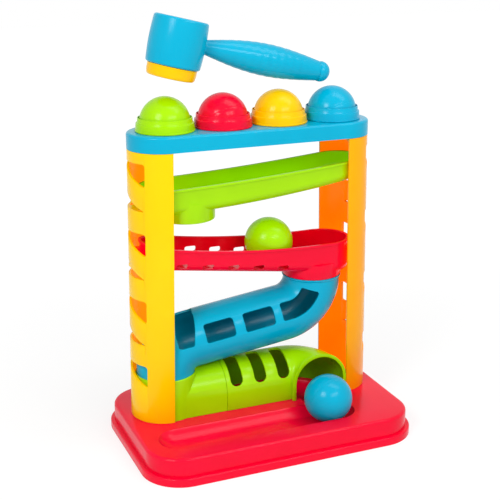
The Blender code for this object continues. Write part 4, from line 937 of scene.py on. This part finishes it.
# %% Shells of the chute
SEAM = 0.15 * MM
NECK_RING = 28.1 * MM
NECK_STEPS = [(NECK_OUTSIDE, 1.2 * MM), (NECK_RING, 0.3 * MM), (NECK_RING, 0.9 * MM),
              (CHUTE_RADIUS, 1.4 * MM), (CHUTE_RADIUS, 0.4 * MM)]
WINDOWS = [(13.8 * MM, 50.4 * MM, 5, 44), (71.6 * MM, 30.6 * MM, 4, 44), (111.8 * MM, 29.3 * MM, 4, 44),
           (152 * MM, 11.8 * MM, 5, 80, 7.4 * MM, 10), (146 * MM, 30 * MM, 64, 125, 6 * MM)]


def chute_half(name, way):
    """The skin of one shell, drawn along the chute's way: -1 is the front one."""
    deselect()
    bpy.ops.mesh.primitive_circle_add(vertices=ROUND, radius=NECK_OUTSIDE, location=(CUP_X, CENTRE_Y, HEAD_Z))
    piece = start(name)
    bpy.ops.mesh.bisect(plane_co=(0, CENTRE_Y + way * SEAM, 0), plane_no=(0, way, 0), clear_inner=True)
    bpy.ops.mesh.select_all(action="SELECT")
    radius, z = NECK_OUTSIDE, HEAD_Z
    for after, drop in NECK_STEPS:
        z -= drop
        extrude((0, 0, -drop))
        bpy.ops.transform.resize(value=(after / radius, after / radius, 1),
                                 center_override=(CUP_X, CENTRE_Y, z))
        radius = after
    bpy.ops.mesh.spin(steps=36, angle=SLOPE - pi / 2, center=head_centre, axis=(0, 1, 0))
    extrude(run_way * run_length)
    bpy.ops.mesh.spin(steps=28, angle=pi / 2 - SLOPE, center=tail_centre, axis=(0, 1, 0))
    extrude((0, 0, TAIL_Z - tail_centre.z))
    return clean(piece)


for name, node, way, windows in (("chute_shell_front", "chute_front", -1, WINDOWS),
                                 ("chute_shell_rear", "chute_rear", 1, WINDOWS[4:])):
    shell = chute_half(name, way)
    side_face = max(shell.data.polygons, key=lambda p: abs(p.normal.y))
    thicken(shell, CHUTE_WALL, -1 if side_face.normal.y * way > 0 else 1)
    combine(shell, "DIFFERENCE", *[chute_window(*window) for window in windows], solver="MANIFOLD")
    soften(shell, 0.3 * MM, 2, 55)
    finished(shell, node, "bench", "blue")

# %% [markdown]
# The tunnel lies on the tray: an arch on straight legs that runs along, bends to the front and ends in a
# mouth with a raised rim. Half a circle gets its legs by extruding its two ends down. A slot with round ends
# is a patch of the arch's own surface, like the chute's windows.

# %% Outline and slots of the tunnel
TUNNEL_RADIUS = 27 * MM
TUNNEL_WALL = 2 * MM
TUNNEL_Z = 40.5 * MM
TUNNEL_FOOT = 24.9 * MM
SEAM_X = -35 * MM
TUNNEL_BEND = 28.2 * MM
MOUTH_X = 59 * MM
BEND_X = MOUTH_X - TUNNEL_BEND
MOUTH_Y = CENTRE_Y - TUNNEL_BEND
RIM = 1.1 * MM
RIM_WIDTH = 2.4 * MM
TUNNEL_SLOT = 6.2 * MM
SLOT_START = 15
SLOT_TURN = 84


def arch_line(name, x, radius):
    """The arch's outline standing across the run at a place."""
    deselect()
    bpy.ops.mesh.primitive_circle_add(vertices=ROUND, radius=radius, location=(x, CENTRE_Y, TUNNEL_Z),
                                      rotation=(0, pi / 2, 0))
    piece = start(name)
    pick(piece, "verts", lambda middle, item: middle.z < TUNNEL_Z - NEAR)
    bpy.ops.mesh.delete(type="VERT")
    pick(piece, "verts", lambda middle, item: middle.z < TUNNEL_Z + NEAR)
    extrude((0, 0, TUNNEL_FOOT - TUNNEL_Z))
    bpy.ops.mesh.select_all(action="SELECT")
    return piece


def tunnel_slot(x):
    """The tool for one slot over the tunnel's front and top, drawn in towards its round ends."""
    middle = TUNNEL_RADIUS - TUNNEL_WALL / 2
    rows = []
    for t, inset in rounded_rows(radians(SLOT_TURN) * middle, TUNNEL_SLOT, 16):
        a = radians(SLOT_START) + t / middle
        rows.append([(x + (TUNNEL_SLOT - inset) * way, CENTRE_Y - middle * cos(a), TUNNEL_Z + middle * sin(a))
                     for way in (-1, 1)])
    return patch_tool(rows)


print("mouth of the tunnel at x", round(MOUTH_X / MM, 1), "y", round(MOUTH_Y / MM, 1))

# %% [markdown]
# The whole line is extruded along the run and spun a quarter turn. The rim is the last band of the outside,
# drawn outwards. Three slots reach over the top.

# %% Tunnel
cover = arch_line("tunnel_arch", SEAM_X + FIT, TUNNEL_RADIUS)
extrude((BEND_X - SEAM_X - FIT, 0, 0))
bpy.ops.mesh.spin(steps=32, angle=pi / 2, center=(BEND_X, MOUTH_Y, 0), axis=(0, 0, 1))
extrude((0, -RIM, 0))
extrude((0, -RIM_WIDTH, 0))
clean(cover)
top_face = max(cover.data.polygons, key=lambda p: p.center.z)
edit(thicken(cover, TUNNEL_WALL, -1 if top_face.normal.z > 0 else 1))


def on_rim(middle, item):
    """Whether a face is on the outside of the mouth's last band."""
    offset = Vector((middle.x - MOUTH_X, 0, max(middle.z - TUNNEL_Z, 0)))
    outside = offset.length > TUNNEL_RADIUS - 0.5 * MM
    return MOUTH_Y - 3.4 * MM < middle.y < MOUTH_Y - RIM and outside and abs(item.normal.y) < 0.5


pick(cover, "faces", on_rim)
bpy.ops.mesh.extrude_region_shrink_fatten(TRANSFORM_OT_shrink_fatten={"value": RIM})
clean(cover)
slots = [tunnel_slot(x * MM) for x in (-24.1, -0.1, 23.9)]
combine(cover, "DIFFERENCE", *slots, solver="MANIFOLD")
soften(cover, 0.35 * MM, 2, 55)
finished(cover, "tunnel_cover", "bench", "green", inside="shaded")

# %% [markdown]
# The inlet takes the chute's tail: a round cup that opens into an arch as wide as the tunnel. The cup is
# turned, the arch joined to it, and the room for the chute and for the ball is cut out with round tools.

# %% Inlet
ROOM_START = 130 * MM


def chute_room():
    """The room that the chute's tail takes, with a fit all round."""
    end = NECK + head_length + run_length + tail_length
    rows = [chute_at(ROOM_START + (end - ROOM_START) * k / 40) for k in range(41)]
    rows.append((Vector((TAIL_X, CENTRE_Y, TAIL_Z - FIT)), Vector((-1, 0, 0))))
    turns = [2 * pi * j / ROUND for j in range(ROUND)]
    points = [on_tube(centre, up, CHUTE_RADIUS + FIT, a) for centre, up in rows for a in turns]
    faces = [(r + c, r + (c + 1) % ROUND, r + ROUND + (c + 1) % ROUND, r + ROUND + c)
             for r in range(0, len(points) - ROUND, ROUND) for c in range(ROUND)]
    faces += [tuple(range(ROUND)), tuple(range(len(points) - ROUND, len(points)))]
    return clean(mesh_tool(points, faces))


def arch_solid(radius, first, last, low):
    """A closed arch between two places along the run, down to a height."""
    piece = arch_line("tool", first, radius)
    bpy.ops.mesh.edge_face_add()
    extrude((last - first, 0, 0))
    pick(piece, "verts", lambda middle, item: middle.z < TUNNEL_FOOT + NEAR)
    bpy.ops.transform.translate(value=(0, 0, low - TUNNEL_FOOT))
    return clean(piece)


INLET_RADIUS = 28.6 * MM
INLET_TOP = 63.5 * MM
INLET_ROUND = 1 * MM
inlet = turned("inlet_cup", [(INLET_RADIUS, TUNNEL_FOOT), (INLET_RADIUS, INLET_TOP)]
               + arc(INLET_RADIUS - INLET_ROUND, INLET_TOP, INLET_ROUND, 0, 90, 5)[1:])
placed(inlet, (TAIL_X, CENTRE_Y, 0))
combine(inlet, "UNION", arch_solid(26.5 * MM, TAIL_X, SEAM_X, TUNNEL_FOOT))
combine(inlet, "DIFFERENCE", chute_room(), drum(25 * MM, 20 * MM, TAIL_Z + 3 * MM, TAIL_X),
        arch_solid(24.5 * MM, TAIL_X, SEAM_X + 3 * MM, 20 * MM))
finished(inlet, "tunnel_inlet", "bench", "green", inside="shaded")

# %% [markdown]
# The base is a stepped tray, hollow underneath. A block gets its four upright edges rounded, its top face
# is inset and raised to the upper step, and both steps get a soft edge. The underside is then opened, and
# Solidify makes the wall.

# %% Base
BASE_LENGTH = 264 * MM
BASE_DEPTH = 168 * MM
BASE_TOP = 24.6 * MM
FLANGE = 7.5 * MM
STEP = 3.9 * MM
BASE_CORNER = 37 * MM
BASE_WALL = 2.4 * MM

deselect()
bpy.ops.mesh.primitive_cube_add(size=1, location=(0, 0, FLANGE / 2), scale=(BASE_LENGTH, BASE_DEPTH, FLANGE))
base = start("tray")
pick(base, "edges", lambda middle, item: abs(length_of(item).z) > FLANGE / 2)
bevel(BASE_CORNER, 24)
pick(base, "faces", lambda middle, item: item.normal.z > 0.9)
bpy.ops.mesh.inset(thickness=STEP)
extrude((0, 0, BASE_TOP - FLANGE))
pick(base, "edges", lambda middle, item: all(v.co.z > BASE_TOP - NEAR for v in item.verts))
bevel(3 * MM, 6)


def outer_flange_edge(middle, item):
    """Whether an edge runs round the flange's upper outside."""
    level = all(abs(v.co.z - FLANGE) < NEAR for v in item.verts)
    return level and any(face.normal.z < 0.5 and face.calc_center_median().z < FLANGE
                         for face in item.link_faces)


pick(base, "edges", outer_flange_edge)
bevel(1.4 * MM, 4)
pick(base, "faces", lambda middle, item: item.normal.z < -0.9 and middle.z < NEAR)
bpy.ops.mesh.delete(type="FACE")
thicken(clean(base), BASE_WALL)
print("tray:", [round(size / MM, 1) for size in (BASE_LENGTH, BASE_DEPTH, BASE_TOP)], "mm")

# %% [markdown]
# The balls' ways are sunk into the tray: the run under the tunnel, its bend, and the trough in front. A thick
# set of round-ended bars, cut level with the top, is joined to the tray, and a thinner set is cut out of it,
# which leaves channels with a wall of their own. Ribs under the top stiffen the tray.

# %% Sunk ways and ribs
TROUGH_Y = -41.5 * MM
TROUGH_RADIUS = 23.5 * MM
TROUGH_AXIS = 38.1 * MM
TROUGH_LEFT = -94 * MM


def capsule(radius, first, last):
    """A bar with round ends between two (x, y) places: a sphere whose one half is moved away."""
    deselect()
    place = Vector((*first, TROUGH_AXIS))
    way = Vector((last[0] - first[0], last[1] - first[1], 0))
    bpy.ops.mesh.primitive_uv_sphere_add(segments=ROUND, ring_count=ROUND // 2, radius=radius, location=place,
                                         rotation=(0, pi / 2, way.to_track_quat("X", "Z").to_euler().z))
    piece = start("tool")
    pick(piece, "verts", lambda middle, item: (middle - place).dot(way) > NEAR * way.length)
    bpy.ops.transform.translate(value=way)
    return clean(piece)


def bend(radius):
    """The quarter of a torus that joins the run under the tunnel to the way out at its mouth."""
    deselect()
    bpy.ops.mesh.primitive_torus_add(major_radius=TUNNEL_BEND, minor_radius=radius, major_segments=ROUND,
                                     minor_segments=ROUND, location=(BEND_X, MOUTH_Y, TROUGH_AXIS))
    piece = start("tool")
    bpy.ops.mesh.bisect(plane_co=(BEND_X, 0, 0), plane_no=(1, 0, 0), clear_inner=True, use_fill=True)
    bpy.ops.mesh.select_all(action="SELECT")
    bpy.ops.mesh.bisect(plane_co=(0, MOUTH_Y, 0), plane_no=(0, 1, 0), clear_inner=True, use_fill=True)
    return clean(piece)


def channels(radius):
    """The tools of the sunk ways: the trough, the run, its bend and the way out to the trough."""
    return [capsule(radius, (TROUGH_LEFT, TROUGH_Y), (MOUTH_X, TROUGH_Y)),
            capsule(radius, (TAIL_X, CENTRE_Y), (BEND_X, CENTRE_Y)), bend(radius),
            capsule(radius, (MOUTH_X, MOUTH_Y), (MOUTH_X, TROUGH_Y))]


def rib(low, high):
    """One rib under the tray's top, between two (x, y) corners."""
    return block((*low, 4 * MM), (*high, BASE_TOP - 1.2 * MM))


outer = TROUGH_RADIUS + BASE_WALL
for shell in channels(outer):
    combine(shell, "DIFFERENCE", block((-0.2, -0.2, BASE_TOP - 0.5 * MM), (0.2, 0.2, 0.2)))
    combine(base, "UNION", shell)
rib_x, rib_y, half_rib = BASE_LENGTH / 2 - STEP - 1.2 * MM, BASE_DEPTH / 2 - STEP - 1.2 * MM, 0.9 * MM
for x in (rib_x * share for share in (-0.6, -0.2, 0.2, 0.6)):
    combine(base, "UNION", rib((x - half_rib, -rib_y), (x + half_rib, rib_y)))
for y, reach in ((TROUGH_Y - outer, 119.5 * MM), ((TROUGH_Y + CENTRE_Y) / 2, rib_x),
                 (CENTRE_Y + outer, rib_x)):
    combine(base, "UNION", rib((-reach, y - half_rib), (reach, y + half_rib)))
combine(base, "DIFFERENCE", *channels(TROUGH_RADIUS))
finished(base, "base_tray", "bench", "red")

# %% [markdown]
# The hammer hangs in the air above the deck, tipped as the photograph shows it. Its head, a little swelled
# like a barrel, and its yellow striking cap are turned, and then tilted as one.

# %% Head of the hammer
HAMMER = Vector((-68 * MM, CENTRE_Y, 365.3 * MM))
TILT = radians(13.4)
HEAD_HALF, HEAD_TOP = 21 * MM, 20.1 * MM
HEAD_RADIUS = 24 * MM
HEAD_SIDE = 36.6 * MM
BARREL = 0.9 * MM
LOW_ROUND, TOP_ROUND = 2.2 * MM, 2.3 * MM
CAP_HEIGHT = 10.5 * MM
CAP_RADIUS, CAP_ROUND, CAP_SKIRT = 21.3 * MM, 2.6 * MM, 21.8 * MM

head_profile = [(20 * MM, -HEAD_HALF)]
head_profile += arc(HEAD_RADIUS - LOW_ROUND, LOW_ROUND - HEAD_HALF, LOW_ROUND, -80, 0, 6)
head_profile += [(HEAD_RADIUS + BARREL * sin(pi * k / 12), LOW_ROUND - HEAD_HALF + HEAD_SIDE * k / 12)
                 for k in range(1, 12)]
head_profile += arc(HEAD_RADIUS - TOP_ROUND, HEAD_TOP - TOP_ROUND, TOP_ROUND, 0, 85, 7)
head_profile += [(18 * MM, HEAD_TOP)]
head = placed(turned("hammer_top", head_profile), HAMMER, (0, TILT, 0))
finished(head, "hammer_head", "hammer", "blue")
face = -HEAD_HALF - CAP_HEIGHT
cap_profile = [(17 * MM, face)] + arc(CAP_RADIUS - CAP_ROUND, face + CAP_ROUND, CAP_ROUND, -80, 0, 6)
cap_profile += [(CAP_SKIRT, -HEAD_HALF - 5 * MM), (CAP_SKIRT, -HEAD_HALF - FIT)]
cap = placed(turned("hammer_face", cap_profile), HAMMER, (0, TILT, 0))
finished(cap, "hammer_cap", "hammer", "golden")

# %% [markdown]
# The handle is turned too, about its own length: a thin neck, a full spindle with shallow rings for the
# fingers, and a groove before the knob at its end.

# %% Handle of the hammer
GRIP_START = 25 * MM
GRIP_LENGTH = 110.6 * MM
GRIP_STEPS = 112
NECK_RADIUS = 6.2 * MM
TAPER = 3 * MM
SWELL = 6.6 * MM
RINGS = 14
RING_DEPTH = 0.22 * MM
KNOB_RADIUS = 9.3 * MM
KNOB_HEIGHT = 8.6 * MM


def handle_radius(share):
    """Radius of the handle at a share of its grip."""
    rings = RING_DEPTH * (1 - cos(2 * pi * RINGS * share)) / 2 * sin(pi * share)
    return NECK_RADIUS + TAPER * share + SWELL * sin(pi * share) - rings


knob = GRIP_START + GRIP_LENGTH
stations = [(NECK_RADIUS, 17 * MM)]
stations += [(handle_radius(k / GRIP_STEPS), GRIP_START + GRIP_LENGTH * k / GRIP_STEPS)
             for k in range(GRIP_STEPS + 1)]
stations += [(8.8 * MM, knob + 0.4 * MM), (8.5 * MM, knob + 1 * MM), (8.7 * MM, knob + 1.5 * MM)]
stations += [(KNOB_RADIUS * cos(radians(a)), knob + 4.4 * MM + KNOB_HEIGHT * sin(radians(a)))
             for a in (-18, -9, 0, 10, 20, 30, 40, 50, 60, 70, 80, 86)]
handle = placed(turned("hammer_grip", stations), HAMMER, (0, pi / 2 + TILT, 0))
finished(handle, "hammer_handle", "hammer", "blue")

# %% [markdown]
# The floor is a plain pale sheet. It mixes real light, which keeps the shadow, with plain white that only the
# camera and reflections see. The white's share grows with the distance from the middle, so that the sheet has
# no edge. The world is white to the camera too, and dimmer as light.

# %% Floor and world
WHITE = 1.06
SKY_LIGHT = 0.42

deselect()
bpy.ops.mesh.primitive_plane_add(size=8)
floor = bpy.context.object
floor.name = "floor"
floor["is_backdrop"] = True


def seen_by_camera(finish):
    """A value that is 1 for rays from the camera, from mirrors and through glass."""
    seen = [finish.node("ShaderNodeLightPath", {}, output="Is " + kind + " Ray")
            for kind in ("Camera", "Glossy", "Transmission")]
    return finish.node("ShaderNodeMath", {"operation": "MINIMUM"}, seen[0] + seen[1] + seen[2], 1.0)


paper = Finish(bpy.data.materials.new("floor_paper"))
paper.set(Base_Color=(0.9, 0.9, 0.9, 1), Roughness=0.8)
place = paper.node("ShaderNodeTexCoord", {}, output=3)
away = paper.node("ShaderNodeVectorMath", {"operation": "LENGTH"}, place, output=1)
share = paper.node("ShaderNodeMapRange", {}, away, From_Min=0.15, From_Max=0.7, To_Min=0.7, To_Max=0.97)
white = paper.node("ShaderNodeEmission", {}, Strength=WHITE)
lit = Value(paper, paper.shader.outputs[0])
blend = paper.node("ShaderNodeMixShader", {}, seen_by_camera(paper) * share, lit, white)
paper.feed(paper.tree.nodes["Material Output"].inputs[0], blend)
floor.data.materials.append(paper.owner)

world = bpy.data.worlds.new("studio")
bpy.context.scene.world = world
sky = Finish(world, "Background")
sky.set(Color=(1, 1, 1, 1),
        Strength=sky.node("ShaderNodeMapRange", {}, seen_by_camera(sky), To_Min=SKY_LIGHT, To_Max=1.0))
print("floor and world ready")

# %% [markdown]
# Three soft lamps are placed for the highlights on the balls and the deck: the key at the front left, the
# fill at the front right, and one above.

# %% Lamps
def softbox(name, place, width, height, watts):
    """A lamp that faces the middle of the tower."""
    deselect()
    aim = Vector((0, 0, 0.17)) - Vector(place)
    bpy.ops.object.light_add(type="AREA", location=place, rotation=aim.to_track_quat("-Z", "Y").to_euler())
    lamp = bpy.context.object
    lamp.name = name
    lamp.data.shape = "RECTANGLE"
    lamp.data.size = width
    lamp.data.size_y = height
    lamp.data.energy = watts


softbox("key", (-0.90, -0.65, 0.945), 0.42, 0.46, 8.4)
softbox("fill", (0.274, -1.099, 0.905), 0.85, 0.27, 5.4)
softbox("overhead", (0.42, -0.25, 1.2), 0.45, 0.9, 4.2)

# %% [markdown]
# At the end the size of the finished model is printed.

# %% Sizes and the end
low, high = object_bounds()
print("model:", [round(size / MM, 1) for size in high - low], "mm;", len(done), "pieces")
